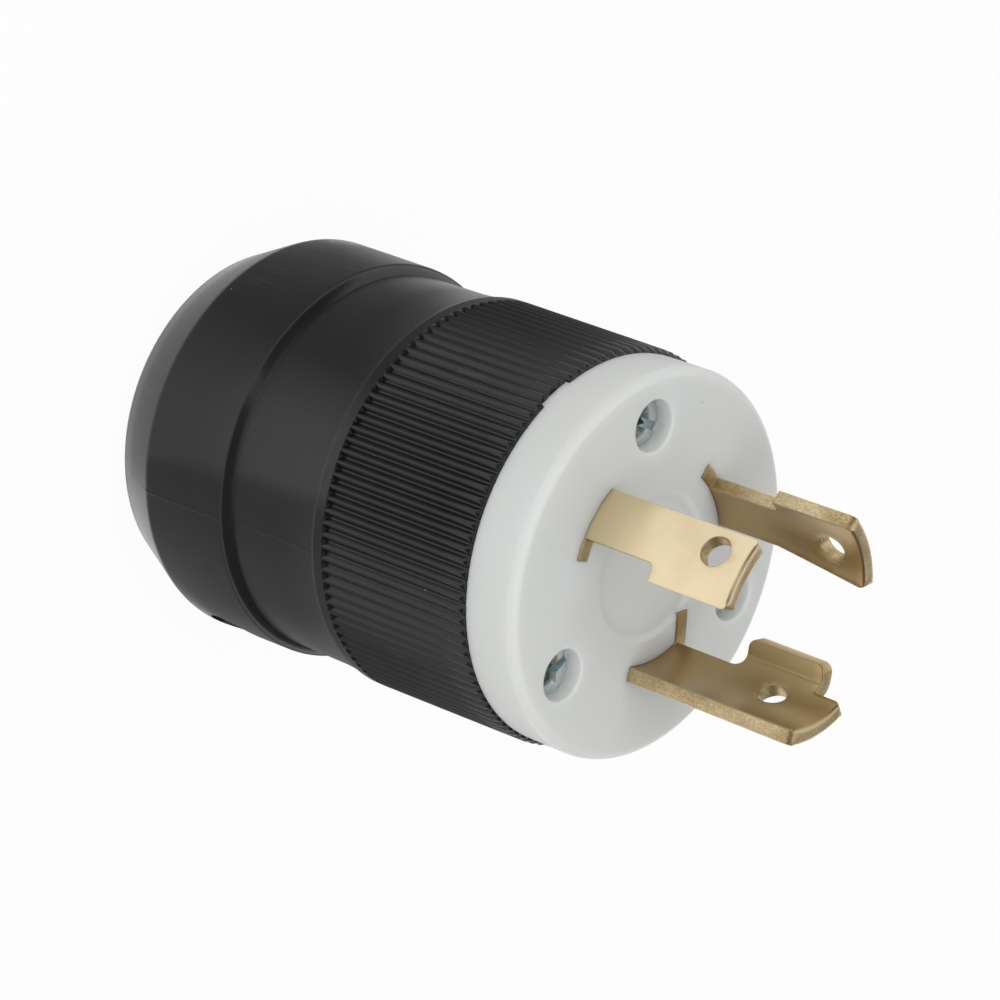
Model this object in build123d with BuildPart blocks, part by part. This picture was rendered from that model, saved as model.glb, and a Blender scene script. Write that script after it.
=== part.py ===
"""Locking power plug: a ribbed nylon grip, a white face with three curved blades and a cord clamp."""

import os
from math import degrees, pi

from build123d import *

os.makedirs("parts", exist_ok=True)

# Driving dimensions in millimetres and degrees. Z runs from the rear end to the blade tips.

# Outline of the black shell, from the rear end forwards
grip_radius = 25.2
rear_bevel_length = 7.9
rear_bevel_depth = 3.5
rear_barrel_length = 12.85
rear_barrel_rise = 0.65
rear_barrel_draft = 0.2
shoulder_length = 1.6
waist_depth = 0.65
waist_length = 7.9
flare_length = 6.4
lip_rise = 0.12
lip_edge = 0.2
lip_length = 1.4
rib_length = 21.9
rib_draft = 0.35
rib_count = 105
rib_depth = 0.7
rib_land = 0.22
front_bevel_length = 0.7
front_bevel_depth = 0.35

# Walls and bosses of the shell
shell_wall = 2.55
rear_wall = 3.0
boss_radius = 4.5
insert_radius = 2.8
insert_length = 8.0
access_hole_radius = 3.5

# White face
flange_length = 7.4
flange_setback = 0.3
rim_radius = 1.2
front_wall = 8.25
spigot_length = 4.0
spigot_wall = 2.5
body_clearance = 0.2
key_middle = 111.8
key_angle = 10.8
key_depth = 0.45
key_clearance = 0.1
dish_radius = 9.3
dish_slope = 0.7
dish_depth = 0.45

# Assembly screws
screw_count = 3
screw_start = 90.0
screw_edge_distance = 6.4
screw_radius = 1.75
screw_hole_radius = 1.95
screw_head_radius = 2.95
screw_head_height = 2.2
screw_head_sink = 1.75
counterbore_radius = 3.2
screw_end_margin = 0.6

# Blades: curved plates on one circle around the axis
blade_outer_radius = 14.2
blade_thickness = 1.8
blade_length = 22.1
foot_height = 0.15
hook_height = 10.4
foot_angle = 38.6
neck_angle = 27.6
hook_angle = 36.4
line_x_start = 120.6
line_y_start = 6.7
flare_height = 9.1
flare_angle = 8.4
tip_corner_radius = 1.0
tip_bevel = 0.5
tip_hole_radius = 1.8
tip_hole_setback = 4.6
tip_hole_angle = 12.2
shoulder_angle = 3.0
slot_clearance = 0.12

# Ground blade: wider, longer, with a tab bent inwards for a hook
ground_start = 253.2
ground_foot_angle = 36.5
ground_neck_angle = 40.0
ground_bend_angle = 46.0
ground_tip_angle = 41.5
ground_extra_length = 2.8
ground_hole_setback = 8.3
ground_hole_angle = 29.5
foot_tab_bend = 66.0
tab_bend = 50.0
tab_bend_radius = 0.7
foot_tab_width = 3.4
tab_width = 2.0
tab_start_height = 9.7
tab_end_setback = 3.9
tab_corner_radius = 1.2

# Terminals behind the face
barrier_height = 14.0
barrier_thickness = 1.6
column_radius = 3.7
retainer_thickness = 4.0
tail_groove_depth = 1.5
wire_hole_radius = 2.0
wire_offset = 3.9
wire_funnel = 0.8
wire_space = 3.4
plate_width = 11.0
plate_height = 8.0
plate_thickness = 1.6
plate_corner = 1.0
terminal_screw_radius = 1.75
terminal_head_radius = 3.2
terminal_head_height = 2.2
terminal_screw_end = 1.0
thread_clearance = 0.05
hole_clearance = 0.25

# Cord clamp: two equal jaws that slide towards the axis
saddle_setback = 4.6
cord_entry_margin = 0.5
arch_thickness = 3.5
jaw_height = 11.0
jaw_setback = 4.1
jaw_end_inset = 4.0
jaw_clearance = 0.3
ear_inner = 5.0
ear_thickness = 4.5
ear_half = 3.4
ear_corner = 0.8
rail_overlap = 1.0
rail_thickness = 2.2
ridge_height = 0.8
ridge_groove = 2.4
ridge_pitch = 4.2
clamp_screw_radius = 2.0
clamp_head_radius = 3.1
clamp_head_height = 2.4
clamp_screw_end = 0.2
clamp_screw_tip = 0.5
nut_size = 7.0
nut_thickness = 2.4
nut_sink = 0.1
nut_clearance = 0.1
nut_thread_clearance = 0.1

# Levels along the axis
shoulder_start = rear_bevel_length + rear_barrel_length
waist_start = shoulder_start + shoulder_length
flare_start = waist_start + waist_length
lip_start = flare_start + flare_length
rib_start = lip_start + lip_edge + lip_length
rib_end = rib_start + rib_length
shell_front = rib_end + front_bevel_length
face_level = shell_front + flange_length
body_rear = face_level - front_wall
spigot_bottom = shell_front - spigot_length
retainer_top = body_rear - barrier_height
retainer_bottom = retainer_top - retainer_thickness
tail_bottom = retainer_top - tail_groove_depth
terminal_level = (retainer_top + body_rear) / 2
ground_length = blade_length + ground_extra_length
tip_hole_level = face_level + blade_length - tip_hole_setback
ground_hole_level = face_level + ground_length - ground_hole_setback
hook_level = face_level + hook_height
flare_level = face_level + flare_height
tab_start_level = face_level + tab_start_height
tab_end_level = face_level + ground_length - tab_end_setback
screw_head_top = face_level - screw_head_sink
screw_head_seat = screw_head_top - screw_head_height
screw_end = retainer_bottom - insert_length + screw_end_margin
jaw_middle = rear_bevel_length + jaw_setback
jaw_bottom = jaw_middle - jaw_height / 2
jaw_top = jaw_middle + jaw_height / 2
clamp_top = jaw_top + jaw_clearance + rail_thickness

# Radii and offsets from the axis
rear_barrel_radius = grip_radius + rear_barrel_rise
rear_end_radius = rear_barrel_radius - rear_bevel_depth
waist_radius = grip_radius - waist_depth
cavity_radius = waist_radius - shell_wall
floor_radius = cavity_radius - rear_bevel_depth
rib_end_radius = grip_radius - rib_draft
shell_front_radius = rib_end_radius - front_bevel_depth
flange_radius = shell_front_radius - flange_setback
spigot_radius = cavity_radius - body_clearance
screw_circle_radius = flange_radius - screw_edge_distance
blade_inner_radius = blade_outer_radius - blade_thickness
plate_outer = blade_inner_radius - wire_space
plate_inner = plate_outer - plate_thickness
jaw_half_length = cavity_radius - jaw_end_inset
clamp_screw_offset = jaw_half_length - ear_half
saddle_radius = clamp_screw_offset - saddle_setback
arch_radius = saddle_radius + arch_thickness
cord_entry_radius = saddle_radius + cord_entry_margin
ear_outer = ear_inner + ear_thickness


def polar(radius, angle):
    """A point of the XY plane at a radius and an angle in degrees."""
    return Vector(radius, 0, 0).rotate(Axis.Z, angle)


def radial_plane(angle, level):
    """The plane through the axis at one level whose normal points outwards at the angle."""
    return Plane(origin=(0, 0, level), x_dir=(0, 0, 1), z_dir=polar(1, angle))


def ring_sector(inner, outer, start, end):
    """A closed piece of a ring between two radii and two angles."""
    with BuildSketch() as sector:
        with BuildLine():
            inside = CenterArc((0, 0), inner, start, end - start)
            outside = CenterArc((0, 0), outer, start, end - start)
            Line(inside @ 0, outside @ 0)
            Line(inside @ 1, outside @ 1)
        make_face()
    return sector.sketch


def blade_sector(start, width, clearance=0.0):
    """The section of a curved blade plate over an angle, or of the slot around it."""
    margin = degrees(clearance / blade_inner_radius)
    return ring_sector(
        blade_inner_radius - clearance, blade_outer_radius + clearance, start - margin, start + width + margin
    )


def tail_sector(start, width, clearance=0.0):
    """The section of a blade's tail, which is wider than the blade by a shoulder on each side."""
    return blade_sector(start - shoulder_angle, width + 2 * shoulder_angle, clearance)


def tab_point(plate_angle, bend, distance):
    """A point in the middle of the sheet of the ground blade's tab, at a distance from its bend."""
    bend_start = ground_start + plate_angle
    bend_end = bend_start + bend
    bend_centre = polar(blade_inner_radius - tab_bend_radius, bend_start)
    root = bend_centre + polar(tab_bend_radius + blade_thickness / 2, bend_end)
    return root + polar(distance, bend_end + 90)


def ground_section(plate_angle, bend, reach, clearance=0.0):
    """The ground blade's section with its tab, or of the slot around it: plate, bend and flat tab."""
    plate_start = ground_start - degrees(clearance / blade_inner_radius)
    plate_inside = blade_inner_radius - clearance
    plate_outside = blade_outer_radius + clearance
    bend_start = ground_start + plate_angle
    bend_end = bend_start + bend
    bend_inner = tab_bend_radius - clearance
    bend_outer = tab_bend_radius + blade_thickness + clearance
    tab_length = reach + clearance
    with BuildSketch() as section:
        add(ring_sector(plate_inside, plate_outside, plate_start, bend_start))
        with Locations(polar(blade_inner_radius - tab_bend_radius, bend_start)):
            add(ring_sector(bend_inner, bend_outer, bend_start, bend_end))
        with Locations(Location(tab_point(plate_angle, bend, tab_length / 2), (0, 0, bend_end + 90))):
            Rectangle(tab_length, bend_outer - bend_inner)
    return section.sketch


def flared_edge(start):
    """The widening of a line blade beyond its straight edge, from the flare level to the tip."""
    middle_radius = blade_outer_radius - blade_thickness / 2
    root = polar(middle_radius, start) + (0, 0, flare_level)
    corner = polar(middle_radius, start - flare_angle) + (0, 0, face_level + blade_length)
    across = polar(1, start)
    with BuildPart() as flare:
        with BuildSketch(Plane.XY.offset(flare_level)):
            add(blade_sector(start - 2 * flare_angle, 2 * flare_angle + neck_angle))
        extrude(amount=blade_length - flare_height)
        split(bisect_by=Plane(origin=root, x_dir=across, z_dir=(corner - root).cross(across)))
    return flare.part


line_starts = {"x": line_x_start, "y": line_y_start}
terminal_angles = {name: start + foot_angle / 2 for name, start in line_starts.items()}
terminal_angles["ground"] = ground_start + ground_bend_angle / 2
slot_sections = [blade_sector(start, foot_angle, slot_clearance) for start in line_starts.values()]
slot_sections.append(ground_section(ground_foot_angle, foot_tab_bend, foot_tab_width, slot_clearance))
groove_sections = [tail_sector(start, foot_angle, slot_clearance) for start in line_starts.values()]
groove_sections.append(tail_sector(ground_start, ground_bend_angle, slot_clearance))

# One groove of the grip: a V that follows the taper of the rib crests and runs out at the front
rib_pitch = 2 * pi * grip_radius / rib_count
groove_half = (rib_pitch - rib_land) / 2
groove_plane = Plane(
    origin=(grip_radius, 0, rib_start), x_dir=(0, 1, 0), z_dir=(-rib_draft, 0, rib_length)
)
with BuildPart() as groove:
    with BuildSketch(groove_plane):
        Polygon(
            (-2 * groove_half, -rib_depth), (2 * groove_half, -rib_depth), (0, rib_depth), align=None
        )
    extrude(amount=rib_length + 2 * front_bevel_length)

# Black shell: turned outline, cavity, guide rails for the jaws, screw bosses and ribs
with BuildPart() as grip_shell:
    with BuildSketch(Plane.XZ):
        with BuildLine():
            barrel = Polyline(
                (cord_entry_radius, rear_wall),
                (cord_entry_radius, 0),
                (rear_end_radius, 0),
                (rear_barrel_radius, rear_bevel_length),
                (rear_barrel_radius - rear_barrel_draft, shoulder_start),
            )
            shoulder = Spline(
                barrel @ 1, (waist_radius, waist_start), tangents=((0, 1), (0, 1)), tangent_scalars=(0.8, 0.8)
            )
            waist = Line(shoulder @ 1, (waist_radius, flare_start))
            flare = TangentArc(waist @ 1, (grip_radius - lip_rise, lip_start), tangent=(0, 1))
            front = Polyline(
                flare @ 1,
                (grip_radius, lip_start + lip_edge),
                (grip_radius, rib_start),
                (rib_end_radius, rib_end),
                (shell_front_radius, shell_front),
                (cavity_radius, shell_front),
                (cavity_radius, rear_bevel_length),
                (floor_radius, rear_wall),
                (cord_entry_radius, rear_wall),
            )
        make_face()
    revolve(axis=Axis.Z)
    # Solid ground on both sides of the jaws, with a channel for the ends of their ears
    with BuildSketch(Plane.XY.offset(rear_wall)):
        Circle(cavity_radius + shell_wall / 4)
        Rectangle(2 * (jaw_half_length - rail_overlap), 3 * cavity_radius, mode=Mode.SUBTRACT)
    extrude(amount=clamp_top - rear_wall)
    with BuildSketch(Plane.XY.offset(jaw_bottom - jaw_clearance)):
        Circle(cavity_radius)
        Rectangle(2 * (jaw_half_length + jaw_clearance), 3 * cavity_radius, mode=Mode.INTERSECT)
    extrude(amount=jaw_height + 2 * jaw_clearance, mode=Mode.SUBTRACT)
    # Bosses that carry the threaded inserts
    with BuildSketch(Plane.XY.offset(clamp_top)):
        with PolarLocations(screw_circle_radius, screw_count, screw_start):
            Circle(boss_radius)
        Circle(cavity_radius + shell_wall / 4, mode=Mode.INTERSECT)
    extrude(amount=retainer_bottom - clamp_top)
    with Locations(Plane.XY.offset(retainer_bottom)):
        with PolarLocations(screw_circle_radius, screw_count, screw_start):
            CounterBoreHole(screw_hole_radius, insert_radius, insert_length, insert_length + rail_thickness)
    # Holes in the rear barrel through which a driver reaches the clamp screws
    for side in (1, -1):
        with Locations(
            Plane(origin=(-side * clamp_screw_offset, 0, jaw_middle), z_dir=(0, -side, 0))
        ):
            Cylinder(
                access_hole_radius,
                2 * rear_barrel_radius,
                align=(Align.CENTER, Align.CENTER, Align.MIN),
                mode=Mode.SUBTRACT,
            )
    # Notch in the front rim for the key of the white face
    with BuildSketch(Plane.XY.offset(shell_front - key_depth - key_clearance)):
        add(
            ring_sector(
                cavity_radius - shell_wall,
                grip_radius + shell_wall,
                key_middle - key_angle / 2 - key_clearance,
                key_middle + key_angle / 2 + key_clearance,
            )
        )
    extrude(amount=key_depth + 2 * key_clearance, mode=Mode.SUBTRACT)
    with PolarLocations(0, rib_count):
        add(groove.part, mode=Mode.SUBTRACT)
grip_shell.part.label = "grip_shell"
export_step(grip_shell.part, "parts/grip_shell.step")

# White face: rounded flange, spigot, key tab, dish, blade slots and sunk screw holes
with BuildPart() as front_body:
    with BuildSketch(Plane.XY.offset(shell_front)):
        Circle(flange_radius)
    extrude(amount=flange_length)
    fillet(front_body.edges().sort_by(Axis.Z)[-1], rim_radius)
    with BuildSketch(Plane.XY.offset(body_rear)):
        Circle(spigot_radius)
    extrude(amount=front_wall - flange_length)
    with BuildSketch(Plane.XY.offset(spigot_bottom)):
        Circle(spigot_radius)
        Circle(spigot_radius - spigot_wall, mode=Mode.SUBTRACT)
        with PolarLocations(screw_circle_radius, screw_count, screw_start):
            Circle(column_radius)
        Circle(spigot_radius, mode=Mode.INTERSECT)
    extrude(amount=body_rear - spigot_bottom)
    with BuildSketch(Plane.XY.offset(shell_front - key_depth)):
        add(
            ring_sector(
                spigot_radius - spigot_wall,
                flange_radius,
                key_middle - key_angle / 2,
                key_middle + key_angle / 2,
            )
        )
    extrude(amount=key_depth)
    with Locations((0, 0, face_level - dish_depth)):
        Cone(
            dish_radius - dish_slope,
            dish_radius,
            dish_depth,
            align=(Align.CENTER, Align.CENTER, Align.MIN),
            mode=Mode.SUBTRACT,
        )
    with BuildSketch(Plane.XY.offset(body_rear)):
        for section in slot_sections:
            add(section)
    extrude(amount=front_wall, mode=Mode.SUBTRACT)
    with Locations(Plane.XY.offset(face_level)):
        with PolarLocations(screw_circle_radius, screw_count, screw_start):
            CounterBoreHole(screw_hole_radius, counterbore_radius, screw_head_sink + screw_head_height)
front_body.part.label = "front_body"
export_step(front_body.part, "parts/front_body.step")

# Plate behind the terminals: screw columns, barrier walls, grooves for the blade tails, wire holes
with BuildPart() as terminal_retainer:
    with BuildSketch(Plane.XY.offset(retainer_bottom)):
        Circle(spigot_radius)
    extrude(amount=retainer_thickness)
    with BuildSketch(Plane.XY.offset(retainer_top)):
        with PolarLocations(screw_circle_radius, screw_count, screw_start):
            Circle(column_radius)
        with PolarLocations(screw_circle_radius / 2, screw_count, screw_start):
            Rectangle(screw_circle_radius, barrier_thickness)
        Circle(barrier_thickness)
    extrude(amount=spigot_bottom - retainer_top)
    barrier_reach = screw_circle_radius - column_radius - hole_clearance
    with BuildSketch(Plane.XY.offset(spigot_bottom)):
        with PolarLocations(barrier_reach / 2, screw_count, screw_start):
            Rectangle(barrier_reach, barrier_thickness)
        Circle(barrier_thickness)
    extrude(amount=body_rear - spigot_bottom)
    with BuildSketch(Plane.XY.offset(tail_bottom)):
        for section in groove_sections:
            add(section)
    extrude(amount=tail_groove_depth, mode=Mode.SUBTRACT)
    wire_circle_radius = blade_inner_radius - slot_clearance - hole_clearance - wire_hole_radius
    for angle in terminal_angles.values():
        middle = polar(wire_circle_radius, angle) + (0, 0, retainer_bottom)
        sideways = polar(wire_offset, angle + 90)
        with Locations(middle + sideways, middle - sideways):
            Cylinder(
                wire_hole_radius,
                retainer_thickness,
                align=(Align.CENTER, Align.CENTER, Align.MIN),
                mode=Mode.SUBTRACT,
            )
            Cone(
                wire_hole_radius + wire_funnel,
                wire_hole_radius,
                wire_funnel,
                align=(Align.CENTER, Align.CENTER, Align.MIN),
                mode=Mode.SUBTRACT,
            )
    with Locations(Plane.XY.offset(spigot_bottom)):
        with PolarLocations(screw_circle_radius, screw_count, screw_start):
            Hole(screw_hole_radius)
terminal_retainer.part.label = "terminal_retainer"
export_step(terminal_retainer.part, "parts/terminal_retainer.step")

# Line blades: tail with shoulders, foot in the face, neck, hook and a hole near the bevelled tip.
# Blade Y widens towards its tip.
for name, start in line_starts.items():
    with BuildPart() as line_blade:
        with BuildSketch(Plane.XY.offset(tail_bottom)):
            add(tail_sector(start, foot_angle))
        extrude(amount=body_rear - tail_bottom)
        with BuildSketch(Plane.XY.offset(body_rear)):
            add(blade_sector(start, foot_angle))
        extrude(amount=front_wall + foot_height)
        with BuildSketch(Plane.XY.offset(face_level + foot_height)):
            add(blade_sector(start, neck_angle))
        extrude(amount=hook_height - foot_height)
        with BuildSketch(Plane.XY.offset(hook_level)):
            add(blade_sector(start, hook_angle))
        extrude(amount=blade_length - hook_height)
        if name == "y":
            add(flared_edge(start))
        tip_edges = line_blade.edges().group_by(Axis.Z)[-1]
        fillet(tip_edges.filter_by(GeomType.LINE), tip_corner_radius)
        tip_face = line_blade.faces().sort_by(Axis.Z)[-1]
        chamfer(tip_face.edges().filter_by(GeomType.CIRCLE), tip_bevel)
        with Locations(radial_plane(start + tip_hole_angle, tip_hole_level)):
            Cylinder(
                tip_hole_radius,
                2 * blade_outer_radius,
                align=(Align.CENTER, Align.CENTER, Align.MIN),
                mode=Mode.SUBTRACT,
            )
        with Locations(radial_plane(terminal_angles[name], terminal_level)):
            Cylinder(
                terminal_screw_radius + hole_clearance,
                2 * blade_outer_radius,
                align=(Align.CENTER, Align.CENTER, Align.MIN),
                mode=Mode.SUBTRACT,
            )
    line_blade.part.label = f"line_blade_{name}"
    export_step(line_blade.part, f"parts/line_blade_{name}.step")

# Ground blade: the same plate with a bent tab at the foot and at the hook
with BuildPart() as ground_blade:
    with BuildSketch(Plane.XY.offset(tail_bottom)):
        add(tail_sector(ground_start, ground_bend_angle))
    extrude(amount=body_rear - tail_bottom)
    with BuildSketch(Plane.XY.offset(body_rear)):
        add(ground_section(ground_foot_angle, foot_tab_bend, foot_tab_width))
    extrude(amount=front_wall + foot_height)
    with BuildSketch(Plane.XY.offset(face_level + foot_height)):
        add(blade_sector(ground_start, ground_neck_angle))
    extrude(amount=tab_start_height - foot_height)
    with BuildSketch(Plane.XY.offset(tab_start_level)):
        add(ground_section(ground_bend_angle, tab_bend, tab_width))
    extrude(amount=tab_end_level - tab_start_level)
    with BuildSketch(Plane.XY.offset(tab_end_level)):
        add(blade_sector(ground_start, ground_tip_angle))
    extrude(amount=tab_end_setback)
    for level in (tab_start_level, tab_end_level):
        tab_corner = tab_point(ground_bend_angle, tab_bend, tab_width) + (0, 0, level)
        fillet(ground_blade.edges().sort_by_distance(tab_corner)[0], tab_corner_radius)
    tip_edges = ground_blade.edges().group_by(Axis.Z)[-1]
    fillet(tip_edges.filter_by(GeomType.LINE), tip_corner_radius)
    tip_face = ground_blade.faces().sort_by(Axis.Z)[-1]
    chamfer(tip_face.edges().filter_by(GeomType.CIRCLE), tip_bevel)
    with Locations(radial_plane(ground_start + ground_hole_angle, ground_hole_level)):
        Cylinder(
            tip_hole_radius,
            2 * blade_outer_radius,
            align=(Align.CENTER, Align.CENTER, Align.MIN),
            mode=Mode.SUBTRACT,
        )
    with Locations(radial_plane(terminal_angles["ground"], terminal_level)):
        Cylinder(
            terminal_screw_radius + hole_clearance,
            2 * blade_outer_radius,
            align=(Align.CENTER, Align.CENTER, Align.MIN),
            mode=Mode.SUBTRACT,
        )
ground_blade.part.label = "ground_blade"
export_step(ground_blade.part, "parts/ground_blade.step")

# Terminals: a pressure plate inside each blade, drawn up by a radial screw
for name, angle in terminal_angles.items():
    axis_plane = radial_plane(angle, terminal_level)
    with BuildPart() as terminal_clamp:
        with BuildSketch(axis_plane.offset(plate_inner)):
            RectangleRounded(plate_height, plate_width, plate_corner)
            Circle(terminal_screw_radius + thread_clearance, mode=Mode.SUBTRACT)
        extrude(amount=plate_thickness)
    terminal_clamp.part.label = f"terminal_clamp_{name}"
    export_step(terminal_clamp.part, f"parts/terminal_clamp_{name}.step")

    with BuildPart() as terminal_screw:
        with BuildSketch(axis_plane.offset(plate_inner - terminal_screw_end)):
            Circle(terminal_screw_radius)
        extrude(amount=blade_outer_radius - plate_inner + terminal_screw_end)
        with BuildSketch(axis_plane.offset(blade_outer_radius)):
            Circle(terminal_head_radius)
        extrude(amount=terminal_head_height)
    terminal_screw.part.label = f"terminal_screw_{name}"
    export_step(terminal_screw.part, f"parts/terminal_screw_{name}.step")

# Assembly screws from the face into brass inserts in the shell
for number in range(screw_count):
    angle = screw_start + number * 360 / screw_count
    place = Plane(origin=polar(screw_circle_radius, angle), z_dir=(0, 0, 1))
    with BuildPart() as assembly_screw:
        with BuildSketch(place.offset(screw_end)):
            Circle(screw_radius)
        extrude(amount=screw_head_seat - screw_end)
        with BuildSketch(place.offset(screw_head_seat)):
            Circle(screw_head_radius)
        extrude(amount=screw_head_height)
    assembly_screw.part.label = f"assembly_screw_{number + 1}"
    export_step(assembly_screw.part, f"parts/assembly_screw_{number + 1}.step")

    with BuildPart() as threaded_insert:
        with BuildSketch(place.offset(retainer_bottom - insert_length)):
            Circle(insert_radius)
            Circle(screw_radius + thread_clearance, mode=Mode.SUBTRACT)
        extrude(amount=insert_length)
    threaded_insert.part.label = f"threaded_insert_{number + 1}"
    export_step(threaded_insert.part, f"parts/threaded_insert_{number + 1}.step")

# Cord clamp: each jaw carries one screw head and one nut, and the second jaw is the first turned half round
for name, turn in (("a", 0), ("b", 180)):
    base = Plane.XY.rotated((0, 0, turn))
    screw_axis = Plane(
        origin=base.from_local_coords((-clamp_screw_offset, 0, jaw_middle)),
        x_dir=base.x_dir,
        z_dir=base.y_dir,
    )
    nut_axis = Plane(
        origin=base.from_local_coords((clamp_screw_offset, 0, jaw_middle)),
        x_dir=base.x_dir,
        z_dir=base.y_dir,
    )
    with BuildPart() as clamp_jaw:
        with BuildSketch(base.offset(jaw_bottom)):
            Circle(arch_radius)
            with Locations((0, -ear_inner)):
                Rectangle(
                    2 * arch_radius,
                    arch_radius + ear_inner,
                    align=(Align.CENTER, Align.MIN),
                    mode=Mode.SUBTRACT,
                )
            with Locations((0, -ear_inner - ear_thickness / 2)):
                RectangleRounded(2 * jaw_half_length, ear_thickness, ear_corner)
            Circle(saddle_radius, mode=Mode.SUBTRACT)
        extrude(amount=jaw_height)
        with Locations((0, 0, jaw_middle - ridge_pitch / 2), (0, 0, jaw_middle + ridge_pitch / 2)):
            Cylinder(saddle_radius + ridge_height, ridge_groove, mode=Mode.SUBTRACT)
        with BuildSketch(screw_axis.offset(-ear_outer), nut_axis.offset(-ear_outer)):
            Circle(clamp_screw_radius + hole_clearance)
        extrude(amount=ear_thickness, mode=Mode.SUBTRACT)
        with BuildSketch(nut_axis.offset(-ear_outer)):
            Rectangle(nut_size + 2 * nut_clearance, nut_size + 2 * nut_clearance)
        extrude(amount=nut_thickness + nut_sink, mode=Mode.SUBTRACT)
    clamp_jaw.part.label = f"clamp_jaw_{name}"
    export_step(clamp_jaw.part, f"parts/clamp_jaw_{name}.step")

    with BuildPart() as clamp_screw:
        with BuildSketch(screw_axis.offset(-ear_outer)):
            Circle(clamp_screw_radius)
        extrude(amount=2 * ear_outer + clamp_screw_end)
        chamfer(clamp_screw.edges().sort_by(Axis(screw_axis.origin, screw_axis.z_dir))[-1], clamp_screw_tip)
        with BuildSketch(screw_axis.offset(-ear_outer - clamp_head_height)):
            Circle(clamp_head_radius)
        extrude(amount=clamp_head_height)
    clamp_screw.part.label = f"clamp_screw_{name}"
    export_step(clamp_screw.part, f"parts/clamp_screw_{name}.step")

    with BuildPart() as clamp_nut:
        with BuildSketch(nut_axis.offset(-ear_outer + nut_sink)):
            Rectangle(nut_size, nut_size)
            Circle(clamp_screw_radius + nut_thread_clearance, mode=Mode.SUBTRACT)
        extrude(amount=nut_thickness)
    clamp_nut.part.label = f"clamp_nut_{name}"
    export_step(clamp_nut.part, f"parts/clamp_nut_{name}.step")
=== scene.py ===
"""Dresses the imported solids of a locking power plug: ribbed shell, white face, stamped blades, cord clamp."""

import math

import bmesh
import bpy
import numpy as np
from bpy.props import FloatProperty, FloatVectorProperty, IntProperty, PointerProperty
from mathutils import Matrix, Vector
from mathutils.geometry import delaunay_2d_cdt


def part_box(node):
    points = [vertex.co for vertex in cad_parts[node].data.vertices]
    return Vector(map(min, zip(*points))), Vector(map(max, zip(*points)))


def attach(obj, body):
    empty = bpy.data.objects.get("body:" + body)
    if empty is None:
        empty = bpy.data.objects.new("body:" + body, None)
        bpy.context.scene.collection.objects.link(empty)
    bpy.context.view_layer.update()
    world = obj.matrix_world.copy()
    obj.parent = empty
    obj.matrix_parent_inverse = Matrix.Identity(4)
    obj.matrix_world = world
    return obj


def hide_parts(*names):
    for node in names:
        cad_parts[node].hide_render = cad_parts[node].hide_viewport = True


bl_info = {
    "name": "Locking power plug",
    "version": (1, 0, 0),
    "blender": (4, 5, 0),
    "location": "3D View > Sidebar > Plug",
    "description": "Dresses the packed solids of a locking power plug",
    "category": "Object",
}

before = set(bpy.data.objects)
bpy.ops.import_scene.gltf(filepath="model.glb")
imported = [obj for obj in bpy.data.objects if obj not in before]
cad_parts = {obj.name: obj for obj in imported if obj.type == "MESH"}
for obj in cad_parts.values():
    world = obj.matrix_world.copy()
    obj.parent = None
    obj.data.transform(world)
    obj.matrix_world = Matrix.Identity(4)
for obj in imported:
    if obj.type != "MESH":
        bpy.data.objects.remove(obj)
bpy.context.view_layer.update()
SHELL_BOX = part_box("grip_shell")
FACE_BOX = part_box("front_body")
LINE_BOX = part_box("line_blade_x")
GROUND_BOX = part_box("ground_blade")
SCREW_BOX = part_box("assembly_screw_1")

MM = 0.001
FULL_TURN = 2 * math.pi
HOUSING = "housing"


def length(name, description, millimetres):
    """A length that a user can change, given in millimetres and kept in metres."""
    return FloatProperty(
        name=name, description=description, default=millimetres * MM, unit="LENGTH", precision=5
    )


def turn(name, description, degrees):
    """An angle that a user can change, given in degrees."""
    return FloatProperty(name=name, description=description, default=math.radians(degrees), subtype="ANGLE")


def tint(name, description, red, green, blue):
    """A colour that a user can change."""
    return FloatVectorProperty(
        name=name, description=description, default=(red, green, blue), subtype="COLOR", min=0, max=1
    )


def number(name, description, value, **limits):
    """A plain number that a user can change."""
    return FloatProperty(name=name, description=description, default=value, **limits)


def whole(name, description, value):
    """A count that a user can change."""
    return IntProperty(name=name, description=description, default=value)


def heading(name, description, subtype, value):
    """A place or a direction that a user can change."""
    return FloatVectorProperty(
        name=name, description=description, default=value, subtype=subtype, precision=5
    )


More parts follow.
